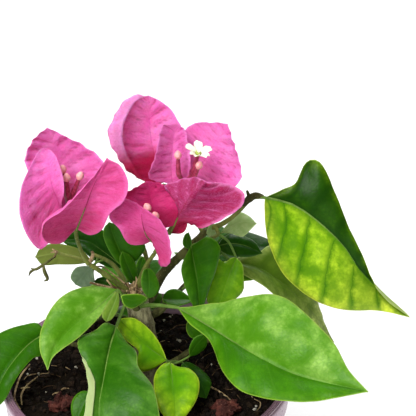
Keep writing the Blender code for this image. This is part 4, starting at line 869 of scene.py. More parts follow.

# %% [markdown]
# ## Leaf skins
# A leaf is green, but never one green.  Old leaves are deep and glossy, young ones fresh
# and soft, and a tired leaf turns yellow between veins that stay dark.  So each kind is
# a material of its own, dealt out leaf by leaf.  All of them come from one
# recipe: side veins from the kept numbers, a fine net between them, soft clouds of a
# second green, a pale rim, and a dull paler underside.  Some also get soft clouds of a
# lighter green as painted sheen, and a few kinds are paler greens that stand for painted
# sheen on leaves that catch the light.


# %% Leaf materials
def leaf_skin(name, main, shade, light, vein, rim, under, roughness=0.36, net=0.22,
              patchy=0.6, halo=0.4, lines=0.3, spacing=7.0, tip=0.0, bloom=0.0, edge=0.6):
    """One leaf material.  Its colours are those of the blade, of its shaded clouds and the
    strips along its veins, of its lighter outer part, of its veins, rim and lower face.
    The lighter colour also lies in soft clouds as painted sheen, and towards the tip."""
    skin = Finish("leaf_" + name, roughness, Subsurface_Weight=0.10, Subsurface_Scale=0.0012,
                  Subsurface_Radius=(0.6, 1.0, 0.2), Specular_IOR_Level=0.12)
    fade, times, coat = skin.fade, skin.times, skin.coat
    phase, side, along = skin.kept("vein")
    from_rim, dice, upper = skin.kept("blade")
    clouds, mottle = skin.cloud(85, 4), skin.cloud(230, 4, 0.7)
    drift = times(clouds, 0.30, times(mottle, 0.24))
    off_vein = times(skin.sums("PINGPONG", skin.add(phase, drift), 0.5), spacing)
    side_vein = times(fade(off_vein, 0.05, 0.42), fade(from_rim, 0.3, 5.0, 0.0, 0.6))
    strong = skin.most(fade(side, 0.08, 0.42), side_vein)
    fine = fade(skin.cells(560, feature="DISTANCE_TO_EDGE"), 0.02, 0.30)
    outer = fade(skin.add(from_rim, times(clouds, 6.0)), 2.0, 9.0)
    skin.body = main
    coat(times(outer, 0.8), light)
    coat(fade(along, 0.35, 0.85, 0.0, tip), light)
    # painted sheen: the lighter colour laid over the leaf in soft clouds
    coat(fade(clouds, 0.38, 0.66, 0.0, bloom), light)
    coat(fade(clouds, 0.36, 0.60, patchy, 0.0), shade)
    coat(fade(mottle, 0.40, 0.62, 0.6 * patchy, 0.0), shade)
    coat(fade(dice, 0.0, 1.0, 0.0, 0.35), shade)
    coat(times(fine, net), shade)
    coat(times(skin.most(fade(off_vein, 0.2, 2.6), fade(side, 0.6, 3.5)), halo), shade)
    coat(times(strong, lines), vein)
    coat(fade(from_rim, 0.1, 0.6, edge, 0.0), rim)
    below = skin.blend(times(strong, 0.6), under, rim)
    skin.body = skin.blend(upper, below, skin.body)
    relief = times(skin.most(strong, times(fine, 0.4)), times(upper, -2.0, 1.0))
    relief = skin.add(relief, times(skin.cloud(900, 2), 0.35))
    shine = skin.add(times(upper, -0.25, roughness + 0.25), times(clouds, 0.16, -0.08))
    return skin.done(relief, 0.45, 0.00016, shine)


LEAF_SKINS = {
    "bright": ((50, 200, 2), (22, 110, 1), (120, 300, 6), (110, 290, 20), (300, 480, 50),
               (260, 360, 110), dict(lines=0.15)),
    "fresh": ((130, 340, 4), (55, 200, 2), (260, 440, 20), (220, 400, 30), (360, 520, 60),
              (280, 400, 120), dict(lines=0.2, bloom=0.4)),
    "middle": ((34, 145, 2), (15, 80, 1), (70, 210, 6), (90, 230, 20), (120, 290, 20),
               (300, 420, 160), dict(lines=0.2, edge=0.4)),
    "deep": ((14, 72, 1), (5, 34, 1), (34, 110, 3), (50, 130, 15), (70, 180, 15),
             (140, 230, 80), dict(lines=0.2, edge=0.3)),
    "dull": ((150, 260, 25), (70, 160, 10), (300, 420, 60), (220, 320, 90), (170, 220, 50),
             (110, 140, 24), dict(roughness=0.5)),
    # pale: B's colour, made paler partly as painted sheen on its upper face
    "pale": ((110, 190, 14), (50, 110, 6), (600, 700, 180), (130, 220, 30), (400, 520, 120),
             (250, 330, 120), dict(lines=0.15, tip=1.0)),
    # painted sheen: a paler copy of the green, for G's left half and for H, where the light catches
    # them
    "sheen": ((110, 300, 10), (50, 180, 3), (310, 510, 100), (150, 340, 30), (330, 500, 70),
              (260, 360, 110), dict(lines=0.12, patchy=0.7, bloom=0.7)),
    "patched": ((40, 160, 2), (12, 80, 1), (170, 370, 50), (90, 240, 20), (300, 440, 80),
                (340, 430, 180), dict(lines=0.1, bloom=0.15, tip=0.6)),
    "yellowing": ((150, 400, 3), (50, 200, 2), (580, 860, 20), (60, 200, 4), (520, 700, 50),
                  (280, 400, 120), dict(lines=0.4, patchy=0.5, halo=0.4, tip=0.9, edge=0.8)),
    # grey: D's pale grey-green, partly a pale leaf colour and partly painted sheen
    "grey": ((360, 480, 200), (170, 280, 70), (500, 620, 330), (300, 400, 160),
             (360, 460, 180), (250, 330, 150), dict(roughness=0.5)),
    "slate": ((110, 170, 95), (60, 100, 50), (180, 250, 150), (130, 190, 110),
              (150, 220, 120), (110, 160, 90), dict(roughness=0.6, bloom=0.4)),
    "mottled": ((260, 500, 3), (35, 150, 2), (700, 820, 60), (20, 100, 3), (640, 740, 80),
                (330, 430, 130), dict(net=0.15, patchy=0.6, halo=0.65, lines=0.8, spacing=13.0,
                                      tip=1.0, bloom=0.4)),
    "dark_half": ((22, 80, 1), (6, 32, 1), (170, 300, 4), (8, 40, 2), (300, 420, 40),
                  (200, 300, 100), dict(net=0.3, patchy=0.7, halo=0.7, lines=0.6,
                                        spacing=13.0)),
}
LEAF_SKINS = {name: leaf_skin(name, *colours, **more)
              for name, (*colours, more) in LEAF_SKINS.items()}
print("leaf materials:", ", ".join(LEAF_SKINS))

# %% [markdown]
# ## Bract skins
# A bract is as thin as tissue paper.  It is magenta with a darker net of veins, and deep
# crimson where it closes round the tubes, made darker there by painted shade.  It is painted
# paler and bluer near the rim and in clouds on its inner face, as light that comes through
# it, and its creases get painted shade in their hollows and painted highlights on their
# crests.  Light scattered under the surface adds a little real glow.


# %% Bract materials
def bract_skin(name, main, deep, pale, outer, roughness=0.55, glow=0.3, dark=0.9):
    """One bract material: its inner face, the deep colour at its foot and in its veins, its
    pale rim, and its outer face; dark is how strong the deep colour at the foot is.  The pale
    colour is painted light: light coming through near the rim and in clouds on the inner face,
    and painted highlights on the crests of its creases.  The deep colour also stands for
    painted shade in the creases, and at the foot it is partly painted shade."""
    skin = Finish("bract_" + name, roughness, Subsurface_Weight=glow, Subsurface_Scale=0.0005,
                  Subsurface_Radius=(1.0, 0.15, 0.5), Specular_IOR_Level=0.3)
    fade, times, coat = skin.fade, skin.times, skin.coat
    phase, side, along = skin.kept("vein")
    from_rim, fold, upper = skin.kept("blade")
    clouds = skin.cloud(110, 4)
    drift = times(clouds, 0.9, -0.45)
    off_vein = times(skin.sums("PINGPONG", skin.add(phase, drift), 0.5), 4.0)
    side_vein = times(fade(off_vein, 0.03, 0.26), fade(from_rim, 0.3, 6.0, 0.0, 0.45))
    main_vein = times(fade(side, 0.10, 0.45), fade(along, 0.30, 0.90, 1.0, 0.1))
    lines = skin.most(main_vein, side_vein)
    fine = fade(skin.cells(430, feature="DISTANCE_TO_EDGE"), 0.015, 0.14)
    inner = times(upper, 0.85, 0.15)
    pleat = skin.node("CombineXYZ", times(phase, 2.2), times(side, 0.16), None)
    pleats = skin.cloud(2.6, 4, 0.7, pleat)
    ridge = fade(skin.sums("ABSOLUTE", skin.sums("SUBTRACT", pleats, 0.52)), 0.0, 0.035)
    skin.body = skin.blend(upper, outer, main)
    # painted light coming through the thin bract: paler clouds on the inner face and a paler rim
    paler = times(fade(clouds, 0.35, 0.7, 0.0, 0.6), inner)
    coat(skin.most(paler, fade(from_rim, 0.0, 2.5, 0.6, 0.0)), pale)
    coat(times(fine, 0.08), deep)
    coat(times(lines, 0.30), deep)
    # painted shade low in the pleats, and painted highlights on their crests and along the raised
    # ridges
    coat(fade(pleats, 0.28, 0.54, 0.30, 0.0), deep)
    coat(times(fade(pleats, 0.52, 0.72, 0.0, 0.35), inner), pale)
    coat(times(ridge, 0.20), pale)
    # painted shade low in the creases, and painted highlights on their crests
    coat(fade(fold, 0.05, 0.38, 0.50, 0.0), deep)
    coat(fade(fold, 0.68, 0.94, 0.0, 0.28), pale)
    # the deep colour at the foot: the bract's own crimson, deepened further as painted shade where the
    # bracts close round the tubes
    coat(fade(along, 0.28, 0.50, dark, 0.0), deep)
    grain = skin.node("TexNoise", skin.place, None, 420, 3, 0.65, 2.0, 1.2)
    relief = times(ridge, 0.8, times(pleats, 4.0, grain))
    relief = skin.add(times(lines, -0.7), relief)
    return skin.done(skin.add(relief, times(fine, -0.12)), 0.6, 0.00026)


BRACT_SKINS = {
    # dark sets how far the foot is deepened, partly as painted shade
    "pink": ((800, 140, 480), (400, 8, 80), (860, 270, 620), (600, 60, 250), dict(dark=0.4)),
    "crimson": ((880, 150, 560), (300, 3, 42), (900, 280, 640), (285, 6, 72), dict(dark=1.0)),
    "deep": ((600, 16, 155), (320, 3, 50), (740, 70, 280), (500, 44, 180), dict(dark=0.8)),
    "rose": ((700, 90, 320), (360, 10, 70), (800, 180, 480), (580, 55, 235),
             dict(roughness=0.6, dark=0.5)),
    "tissue": ((950, 180, 580), (380, 6, 60), (920, 330, 680), (850, 260, 560),
               dict(glow=0.5, dark=1.0)),
}
BRACT_SKINS = {name: bract_skin(name, *colours, **more)
               for name, (*colours, more) in BRACT_SKINS.items()}
print("bract materials:", ", ".join(BRACT_SKINS))

# %% [markdown]
# ## Stems, stalks and bark
# Wood gets its form from a swept tube.  Points in between are rounded off by a
# Catmull-Rom curve, so a twig bends and doesn't kink, and the ring at each point turns as
# little as possible from the last.  The trunk's tube is dense enough for real bark:
# long shallow cracks, pressed into the mesh.


# %% Tubes
def rounded(points, radii, spacing):
    """A smooth path through points, with a point about every spacing mm, and its radii."""
    points = np.array(points, float)
    knots = extended(points)
    path, widths = [], []
    for index in range(len(points) - 1):
        a, b, c, d = knots[index:index + 4]
        steps = max(2, int(np.linalg.norm(c - b) / spacing))
        for step in range(steps):
            t = step / steps
            path.append(0.5 * (2 * b + (c - a) * t + (2 * a - 5 * b + 4 * c - d) * t ** 2
                               + (3 * b - a - 3 * c + d) * t ** 3))
            widths.append(radii[index] * (1 - t) + radii[index + 1] * t)
    return np.array(path + [points[-1]]), np.array(widths + [radii[-1]])


def sweep(path, radii, sides):
    """Rings of points round a path, and the quads and end caps between them."""
    heading = unit(np.gradient(np.array(path), axis=0))
    right = np.cross(heading[0], (0.3, 0.9, 0.31))
    angles = 2 * np.pi * np.arange(sides) / sides
    rings = []
    for place, ahead, radius in zip(path, heading, radii):
        right = unit(right - ahead * np.dot(right, ahead))
        up = np.cross(ahead, right)
        rings.append(place + radius * (np.outer(np.cos(angles), right)
                                       + np.outer(np.sin(angles), up)))
    points = np.concatenate(rings)
    index = np.arange(len(points)).reshape(len(path), sides)
    after = np.roll(index, -1, axis=1)
    quads = np.stack([index[:-1], after[:-1], after[1:], index[1:]], -1).reshape(-1, 4)
    return points, quads.tolist() + [index[0][::-1].tolist(), index[-1].tolist()]


def tube(points, radii, spacing, sides, slot):
    """A tube through points, in its slot."""
    return (*sweep(*rounded(points, radii, spacing), sides), slot)


print("3 points become", len(rounded([(0, 0, 0), (5, 0, 5), (9, 0, 12)], [1, 1, 1], 1)[0]))


# %% Wood materials
def wood_skin(name, main, dark, light, scale=260, roughness=0.8, depth=0.6):
    """Bark or green rind: two tones in streaks along Z, with small pale flecks."""
    skin = Finish(name, roughness, Specular_IOR_Level=0.15)
    grain = skin.node("Mapping", skin.place, None, None, (1, 1, 0.3))
    streaks = skin.cloud(scale, 5, 0.65, grain)
    flecks = skin.cells(scale * 3.5)
    skin.body = skin.blend(skin.fade(streaks, 0.38, 0.62), main, dark)
    skin.coat(skin.fade(flecks, 0.05, 0.3, 0.45), light)
    return skin.done(skin.sums("SUBTRACT", streaks, skin.times(flecks, 0.2)), depth, 0.0006)


BARK, BROWN, GREEN, STALK, STRAW, RIB = range(6)
WOODS = [
    wood_skin("grey_bark", (400, 380, 210), (120, 105, 55), (600, 580, 420)),
    wood_skin("brown_wood", (95, 98, 30), (34, 34, 10), (210, 210, 90)),
    wood_skin("green_stem", (160, 185, 40), (80, 100, 20), (260, 280, 100), 260, 0.6, 0.3),
    wood_skin("stalk_green", (130, 230, 40), (85, 160, 25), (260, 360, 110), 260, 0.55, 0.2),
    wood_skin("dry_straw", (420, 310, 160), (110, 65, 30), (680, 580, 400), depth=0.4),
    wood_skin("bract_rib", (330, 20, 70), (200, 12, 35), (450, 60, 120), 260, 0.6, 0.2),
]
print("wood materials:", [made.name for made in WOODS])

# %% [markdown]
# ## The trunk
# The trunk was cut back when young: it is short, stout and grey, leans a little to the
# left, and ends in a cut with dry stubs round it.  Rings of 72 points are moved out and in
# by bark noise that is drawn out along the trunk, and by a few low ribs at its foot.


# %% Trunk and boughs with bark
def barky(points, radii, sides, spacing, depth, flare=0.0):
    """A limb's tube with bark pressed into it; flare adds ribs at its foot, in mm."""
    path, widths = rounded(points, radii, spacing)
    shell, faces = sweep(path, widths, sides)
    out = unit(shell - np.repeat(path, sides, axis=0))
    moved = []
    for place, way in zip(shell, out):
        turn = math.atan2(way[1], way[0])
        grain = Vector((place[0] * 0.9, place[1] * 0.9, place[2] * 0.22))
        crack = noise.fractal(grain, 0.8, 2.1, 4)
        lumps = noise.noise(Vector(place) * 0.16)
        rise = depth * (crack - 0.6 * abs(noise.noise(grain * 1.7))) + depth * 0.8 * lumps
        rise += flare * max(0.0, 1 - (place[2] - points[0][2]) / 14) ** 2 * math.cos(5 * turn)
        moved.append(rise)
    return shell + out * np.array(moved)[:, None], faces


trunk = gather("trunk_bark", [(*barky(*LIMBS["trunk"], 72, 0.6, 0.55, 0.5), BARK)], WOODS)
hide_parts("trunk")
# inside the trunk, where a bough begins; the others begin in line with their first points
BOUGH_ROOTS = {"bough_right": (-1.5, 1.8, 133.5)}
for name, wood in (("bough_right", BROWN), ("bough_middle", GREEN), ("bough_left", GREEN)):
    points, radii = LIMBS[name]
    root = BOUGH_ROOTS.get(name, 2 * np.array(points[0]) - points[1])
    shell = barky([root, *points], [radii[0], *radii], 28, 0.6, 0.08 * radii[0])
    bough = gather(name + "_bark", [(*shell, wood)], WOODS)
    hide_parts(name)
print("trunk has", len(trunk.data.polygons), "faces")

# %% [markdown]
# ## The masses
# Now every mass is made from its rows: one piece for its blades, one for its twigs and
# stalks.  A twig starts inside its limb here, because seen close there is no gap between
# wood and wood.  Along the underside of each blade runs its rib, the end of its stalk.

# %% Which blade wears which skin
# names, skin, number of side veins, puff, and for some a second skin on the left half or a
# curl: (side, start, degrees, since, bend)
LOOKS = {name: look for names, *look in (
    # G's left half wears the painted sheen skin
    ("A", "mottled", 6, 0.40, "dark_half"), ("G", "bright", 7, 0.30, "sheen"),
    ("I", "patched", 7, 0.50, None, (-1, 0.52, 172, 0.40, 0.4)), ("H", "sheen", 6, 0.30),
    ("J K", "yellowing", 5, 0.3), ("T", "bright", 4, 0.2), ("F", "fresh", 5, 0.35),
    ("B", "pale", 7, 0.3), ("U", "dull", 4, 0.2), ("O", "dull", 5, 0.2), ("D", "grey", 4, 0.2),
    ("D2", "grey", 3, 0.1), ("Q", "slate", 4, 0.2), ("C", "deep", 5, 0.5),
    ("P", "deep", 6, 0.35), ("L2 Q2", "deep", 4, 0.2), ("S V N L1 R2", "middle", 4, 0.2),
    ("E", "middle", 6, 0.35), ("M", "middle", 7, 0.5), ("R", "middle", 5, 0.35),
    ("W", "middle", 3, 0.1), ("P2", "middle", 5, 0.3)) for name in names.split()}
OTHER_SKINS = ("middle", "bright", "deep", "middle", "fresh")
BRACT_LOOKS = {
    "top": ("tissue", (1, 0.74, 176, 0.15, 0.3)), "r_back": ("pink", None),
    "r_left": ("pink", None), "r_front": ("crimson", None), "m_back": ("deep", None),
    "m_left": ("rose", None), "left": ("pink", (-1, 0.9, 120, 0.3, 1)), "back": ("pink", None),
    "front": ("rose", (-1, 0.9, -170, 0.3, 1)),
    "b_left": ("pink", None), "b_right": ("crimson", None), "b_back": ("deep", None),
}
# dead stalks, curled remains and the knob of an old leaf joint: points, radii, wood
DRY_BITS = {
    "back_left_leaves": [
        ([(-22.5, 11, 148), (-28, 10, 150.5), (-33, 10, 152), (-36, 10, 153)],
         [0.7, 0.6, 0.5, 0.6], GREEN),
        ([(-35.5, 10, 153), (-37.5, 10, 154.5)], [0.6, 0.2], STRAW),
        ([(-35.5, 10, 153), (-38, 9, 153.5)], [0.6, 0.2], STRAW),
        ([(-35.5, 10, 153), (-37, 10, 151)], [0.6, 0.2], STRAW),
        ([(-37, 15, 148.5), (-42, 13, 145.5), (-45, 12, 144), (-47, 12, 144.5)],
         [0.4, 0.6, 0.6, 0.2], BROWN),
        ([(-42, 13, 145.5), (-41.5, 12, 143), (-40.5, 12, 139.5), (-42, 12, 138.5)],
         [0.5, 0.8, 0.7, 0.2], BROWN),
        ([(-45, 12, 144), (-47, 12, 143), (-48, 12, 141)], [0.4, 0.6, 0.2], BROWN)],
    "left_bracts": [
        ([(-18.5, -7, 156), (-15.5, -2, 152.5), (-8, -2, 145.5)], [0.25, 0.35, 0.4], STRAW),
        ([(-21, -8.8, 158), (-19.5, -6, 160.5), (-20, -5, 161.5)], [0.8, 0.7, 0.5], STRAW)],
    "right_leaves": [
        ([(39, 13.5, 172.5), (41.5, 13, 175.5), (44, 13, 177), (47, 12.5, 176.5)],
         [0.9, 1.6, 1.3, 0.9], BROWN),
        ([(41.5, 13, 176), (40.5, 13, 179)], [0.9, 0.5], BROWN)],
}


def stalk_path(row, twigs):
    """The stalk's bow from its twig to the foot of its blade."""
    start = root_of(row, twigs)
    places, frames = midrib(row)
    foot, ahead = places[0], frames[0][:, 0]
    return start, (start + foot) / 2 - ahead * 0.12 * np.linalg.norm(foot - start), foot


def rib_path(row, reach, below):
    """The rib that lies so far below a blade, from its foot to near its tip."""
    u = np.linspace(0.0, reach, 14)
    down = along_rib(midrib(row)[1][:, :, 2], u)
    return blade_points(row, u, np.zeros_like(u)) - down * below, u


def stems_of(name, parts, papery):
    """Swept tubes of a mass's twigs, stalks, ribs and dry bits."""
    tubes = []
    for number, (points, radii) in enumerate(parts["twigs"]):
        if number == 0 and "limb" in parts:
            near = min(spread_along(LIMBS[parts["limb"]][0], 100),
                       key=lambda place: math.dist(points[0], place))
            points, radii = [near, *points], [radii[0], *radii]
        path, widths = rounded(points, radii, 0.8)
        grow = 1 + 0.12 * crinkle(path, 3.0, number)
        tubes.append((*sweep(path, widths * grow, 12),
                      GREEN if papery or radii[0] < 1.5 else BROWN))
    for row in parts["leaves"]:
        thick = (0.45 + row["long"] / 200) * (0.75 if papery else 0.9)
        rib, u = rib_path(row, *((0.75, 0.45) if papery else (0.93, 0.22)))
        path, widths = rounded(stalk_path(row, parts["twigs"]),
                               [thick * 1.15, thick, thick * 0.9], 0.8)
        path = np.concatenate([path[:-1], rib])
        widths = np.concatenate([widths[:-1], thick * (0.85 - 0.72 * (u / u[-1]) ** 0.6)])
        last = len(path) - 6 if papery else len(path)
        tubes.append((*sweep(path[:last], widths[:last], 8), STALK))
        if papery:
            tubes.append((*sweep(path[last - 1:], widths[last - 1:], 8), RIB))
    return tubes + [tube(points, radii, 0.6, 9, wood) for points, radii, wood in
                    DRY_BITS.get(name, ())]


# %% Leaves, twigs and bracts of every mass
for order, (name, parts) in enumerate(MASSES.items()):
    papery = name.endswith("bracts")
    skins = BRACT_SKINS if papery else LEAF_SKINS
    shells = []
    for number, row in enumerate(parts["leaves"]):
        seed = order * 17 + number
        skin, veins, puff, second, curl = None, 5, 0.30, None, None
        if papery:
            skin, curl = BRACT_LOOKS[row["name"]]
        elif row["name"] in LOOKS:
            skin, veins, puff, second, curl = (*LOOKS[row["name"]], None, None)[:5]
        else:
            skin, veins, puff = OTHER_SKINS[seed % len(OTHER_SKINS)], 6, 0.35
        slot, other = (list(skins).index(title) for title in (skin, second or skin))
        shells.append(blade_shell(row, slot, other, veins, puff, curl, seed, papery))
    blades = gather_blades(name + "_blades", shells, skins.values())
    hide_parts(name)
    stems = gather(name + "_stems", stems_of(name, parts, papery), WOODS)
    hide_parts(name)
    print(name, "has", len(shells), "blades,", len(blades.data.polygons), "faces")

# %% [markdown]
# ## Blossom
# Inside each group of three bracts stand three narrow tubes, dark red below and swollen at
# the foot.  Most end in a closed bud with a pink tip.  One is open: a flat cream star with
# five notched lobes round a green-yellow throat.


# %% Blossom materials
def two_tone(name, glow, scale, first, second, spread=(0.3, 0.7), share=1.0, depth=0.3):
    """Two colours in soft clouds, with a fine grain; glow lets light through a little."""
    soft = dict(Subsurface_Weight=glow, Subsurface_Scale=0.001) if glow else {}
    skin = Finish(name, 0.5, **soft)
    clouds = skin.cloud(scale)
    skin.body = skin.blend(skin.fade(clouds, *spread, 0.0, share), first, second)
    return skin.done(clouds, depth, 0.0002)


TUBE, BUD, PETAL, THROAT = range(4)
BLOSSOM_SKINS = [
    two_tone("tube_red", 0.15, 700, (230, 12, 45), (420, 50, 110), (0.35, 0.65), depth=0.4),
    two_tone("bud_pink", 0.2, 600, (780, 260, 290), (860, 440, 420), (0.35, 0.65)),
    two_tone("petal_cream", 0.2, 500, (930, 900, 780), (860, 840, 560), share=0.5),
    two_tone("throat_green", 0.0, 900, (420, 480, 90), (220, 330, 40)),
]
print("blossom materials:", [made.name for made in BLOSSOM_SKINS])

# %% Tubes, buds and the open flower
FLOWER_RADIUS = 5.4
LOBES = 5


def bud(neck, tip):
    """A closed bud of five soft ribs on the end of its tube."""
    rings, sides = 12, 20
    along = np.linspace(0, 1, rings)
    swell = 1.45 * np.sin(np.pi * np.clip(along, 0.07, 0.97)) ** 0.55
    ahead = unit(tip - neck)
    middle = tip - ahead * 2.4 + np.outer(along * 3.6, ahead)
    shell, faces = sweep(middle, swell, sides)
    centre = np.repeat(middle, sides, axis=0)
    turn = np.tile(2 * np.pi * np.arange(sides) / sides, rings)
    return centre + (shell - centre) * (1 - 0.10 * np.cos(LOBES * turn) ** 2)[:, None], faces, BUD


def open_flower(bend, tip):
    """A flat star of five notched lobes, its throat and its pale stamens."""
    up = unit(tip - bend)
    right = unit(np.cross(up, (0.2, 1.0, 0.1)))
    front = np.cross(up, right)
    turns, rings = 100, 9
    angle = 2 * np.pi * np.arange(turns) / turns
    lobe, edge = np.abs(np.cos(LOBES / 2 * angle)), np.abs(np.sin(LOBES / 2 * angle))
    reach = FLOWER_RADIUS * (0.40 + 0.60 * lobe ** 0.75 - 0.15 * np.exp(-(edge / 0.22) ** 2))
    upper, lower = [], []
    for out in (np.arange(rings) + 1) / rings:
        radius = 1.0 + (reach - 1.0) * out
        lift = (1.3 * out ** 1.6 - (1 - out) ** 3 + 0.30 * out * np.cos(LOBES * angle)
                + 0.25 * out * np.sin(15 * angle + 1.0))
        place = (tip + np.outer(radius * np.cos(angle), right)
                 + np.outer(radius * np.sin(angle), front) + np.outer(lift, up))
        upper.append(place + up * 0.10)
        lower.append(place - up * 0.10)
    index = np.arange(2 * rings * turns).reshape(2 * rings, turns)
    nxt, after = np.roll(index, -1, axis=0), np.roll(index, -1, axis=1)
    faces = np.stack([index, nxt, np.roll(nxt, -1, axis=1), after], -1).reshape(-1, 4)
    bowl = tip + np.outer((-2.2, -1.0, -0.3, 0.1), up)
    made = [(np.concatenate(upper + lower[::-1]), faces.tolist(), PETAL),
            (*sweep(bowl, (0.6, 0.9, 1.15, 1.1), 24), THROAT)]
    for number in range(4):
        turn = math.radians(80 * number + 20)
        foot = tip + (right * math.cos(turn) + front * math.sin(turn)) * 0.45
        made.append((*sweep(foot + np.outer((0, 0.5, 0.9), up), (0.14, 0.22, 0.12), 8), PETAL))
    return made


for name, rows in BLOSSOM.items():
    shells = []
    for (twig, part), bend, tip, is_open in rows:
        start, _ = along_twig(MASSES[name]["twigs"][twig][0], part)
        bend, tip = np.array(bend, float), np.array(tip, float)
        neck = tip + (bend - tip) * 0.30
        shells.append(tube([start, (start + bend) / 2, bend, neck, tip],
                           [0.55, 0.75, 1.05, 0.72, 0.85], 0.5, 14, TUBE))
        shells += open_flower(bend, tip) if is_open else [bud(neck, tip)]
    blossom = gather(name + "_blossom", shells, BLOSSOM_SKINS)
    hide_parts(name)
    print(name, "has", len(rows), "tubes")

# %% [markdown]
# ## Dry stubs on the pruned top
# Where the leader was cut, the wood dried to a pale frayed stump, with a few short straws
# of old stalks.  Each is a thin tube with its own bend.

# %% Dry stubs
TOP = np.array((-4.4, -0.2, 141.8))
STUBS = 34
dice = random.Random(21)
stubs = []
for number in range(STUBS):
    turn, lean = dice.uniform(0, 2 * math.pi), dice.uniform(0.2, 1.3)
    side = np.array((math.cos(turn), math.sin(turn), 0))
    ahead = unit(side * lean + (0, 0, 1))
    foot = TOP + side * dice.uniform(0.5, 4.2)
    long = dice.uniform(1.2, 3.6)
    mid = foot + ahead * long * 0.5 + (dice.uniform(-.4, .4), dice.uniform(-.4, .4), 0)
    path, widths = rounded([foot - ahead, mid, foot + ahead * long],
                           [dice.uniform(0.5, 1.0), 0.5, dice.uniform(0.15, 0.5)], 0.5)
    stubs.append((*sweep(path, widths * (1 + 0.25 * crinkle(path, 1.2, number)), 9), STRAW))
# the cap is rounded twice, so that its rings lie close enough for the cracks
cap = rounded([TOP - (0, 0, 1.4), TOP, TOP + (0.2, 0, 0.9)], [3.6, 4.1, 2.4], 0.5)
stubs.append((*barky(*cap, 48, 0.5, 0.5), STRAW))
for points, radii in (([(-8, -3, 142.5), (-14, -3.5, 144.5), (-21.5, -4, 147)], [0.8, 0.6, 0.4]),
                      ([(-8, -3, 142.5), (-12, -5.5, 146), (-14.5, -7, 150)], [0.6, 0.5, 0.3])):
    stubs.append(tube(points, radii, 0.8, 8, STRAW))
dry_stubs = gather("dry_stubs", stubs, WOODS)
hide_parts("trunk")
print("dry stubs:", len(stubs))

# %% [markdown]
# ## The pot
# The pot is blown thin from mauve plastic.  A turned profile gives its wall, the thicker
# band under its rim, and the rim itself, which carries fine moulded ridges that the light
# picks out.  Eight drain holes are cut through its floor.

# %% Pot
POT_HEIGHT, RIM_RADIUS, LIP_WIDTH, LIP_DEPTH = 105.0, 60.0, 3.8, 2.4
BAND_RADIUS, BAND_HEIGHT, SHOULDER_RADIUS, FOOT_RADIUS = 59.2, 13.5, 56.4, 45.6
WALL, FLOOR_THICK = 1.3, 1.6
DRAIN_HOLES, DRAIN_RING, DRAIN_RADIUS = 8, 31.0, 4.0
BAND_FOOT = POT_HEIGHT - BAND_HEIGHT
LIP = RIM_RADIUS - LIP_WIDTH            # radius of the lip's inside
UNDER_LIP = POT_HEIGHT - LIP_DEPTH
FOOT_INSIDE, SHOULDER_INSIDE = FOOT_RADIUS - WALL, SHOULDER_RADIUS - WALL


def turned_mesh(name, profile, segments):
    """A closed solid of revolution from a profile (radius, height) that ends on the axis."""
    shape = bmesh.new()
    knots = [shape.verts.new((radius * MM, 0, height * MM)) for radius, height in profile]
    edges = [shape.edges.new(pair) for pair in zip(knots, knots[1:])]
    bmesh.ops.spin(shape, geom=knots + edges, cent=(0, 0, 0), axis=(0, 0, 1),
                   angle=2 * math.pi, steps=segments, use_merge=True)
    bmesh.ops.remove_doubles(shape, verts=shape.verts, dist=0.00001)
    bmesh.ops.recalc_face_normals(shape, faces=shape.faces)
    mesh = bpy.data.meshes.new(name)
    shape.to_mesh(mesh)
    shape.free()
    return placed(name, mesh)


# the lip's top from inside to outside: two fine ridges between smooth shoulders
ripple = [(LIP + 1.0 + 2.0 * across, 0.16 * math.cos(2 * math.pi * 2.5 * across) - 0.16)
          for across in np.linspace(0, 1, 25)]
lip_top = [(LIP + 0.25, -0.6), (LIP + 0.7, -0.15), *ripple, (RIM_RADIUS - 0.35, -0.25),
           (RIM_RADIUS, -0.8)]
pot = turned_mesh("nursery_pot", [
    (0, FLOOR_THICK), (FOOT_INSIDE - 0.8, FLOOR_THICK), (FOOT_INSIDE, FLOOR_THICK + 1.5),
    (SHOULDER_INSIDE, BAND_FOOT - 1.0), (LIP + 0.5, BAND_FOOT + 1.0), (LIP + 0.9, UNDER_LIP),
    (LIP, POT_HEIGHT - 1.4), *((radius, POT_HEIGHT + height) for radius, height in lip_top),
    (RIM_RADIUS, UNDER_LIP + 0.3), (RIM_RADIUS - 0.3, UNDER_LIP), (BAND_RADIUS, UNDER_LIP - 0.5),
    (BAND_RADIUS - 0.8, BAND_FOOT + 0.4), (BAND_RADIUS - 1.1, BAND_FOOT),
    (SHOULDER_RADIUS + 0.4, BAND_FOOT - 0.5), (SHOULDER_RADIUS, BAND_FOOT - 1.4),
    (FOOT_RADIUS + 0.3, 1.8), (FOOT_RADIUS, 0.6), (FOOT_RADIUS - 0.8, 0), (0, 0)], 128)
for number in range(DRAIN_HOLES):
    angle = 2 * math.pi * number / DRAIN_HOLES
    bpy.ops.mesh.primitive_cylinder_add(
        vertices=32, radius=DRAIN_RADIUS * MM, depth=8 * MM,
        location=(DRAIN_RING * math.cos(angle) * MM, DRAIN_RING * math.sin(angle) * MM, 0))
    punch = bpy.context.object
    cut = pot.modifiers.new("drain", "BOOLEAN")
    cut.object = punch
    cut.operation = "DIFFERENCE"
    with bpy.context.temp_override(object=pot, active_object=pot):
        bpy.ops.object.modifier_apply(modifier=cut.name)
    bpy.data.objects.remove(punch)
pot.data.shade_smooth()
pot.data.set_sharp_from_angle(angle=math.radians(35))
print("pot faces:", len(pot.data.polygons))

# %% Pot plastic
mauve = Finish("mauve_plastic", 0.3)
flow = mauve.cloud(40, place=mauve.node("Mapping", mauve.place, None, None, (1, 1, 0.3)))
dust = mauve.cloud(900)
height = mauve.node("SeparateXYZ", mauve.place, out=2)
mauve.body = mauve.blend(mauve.fade(flow, 0.3, 0.7, 0.0, 0.6), (330, 200, 280), (400, 270, 340))
mauve.coat(mauve.fade(dust, 0.6, 0.75, 0.0, 0.25), (500, 420, 450))
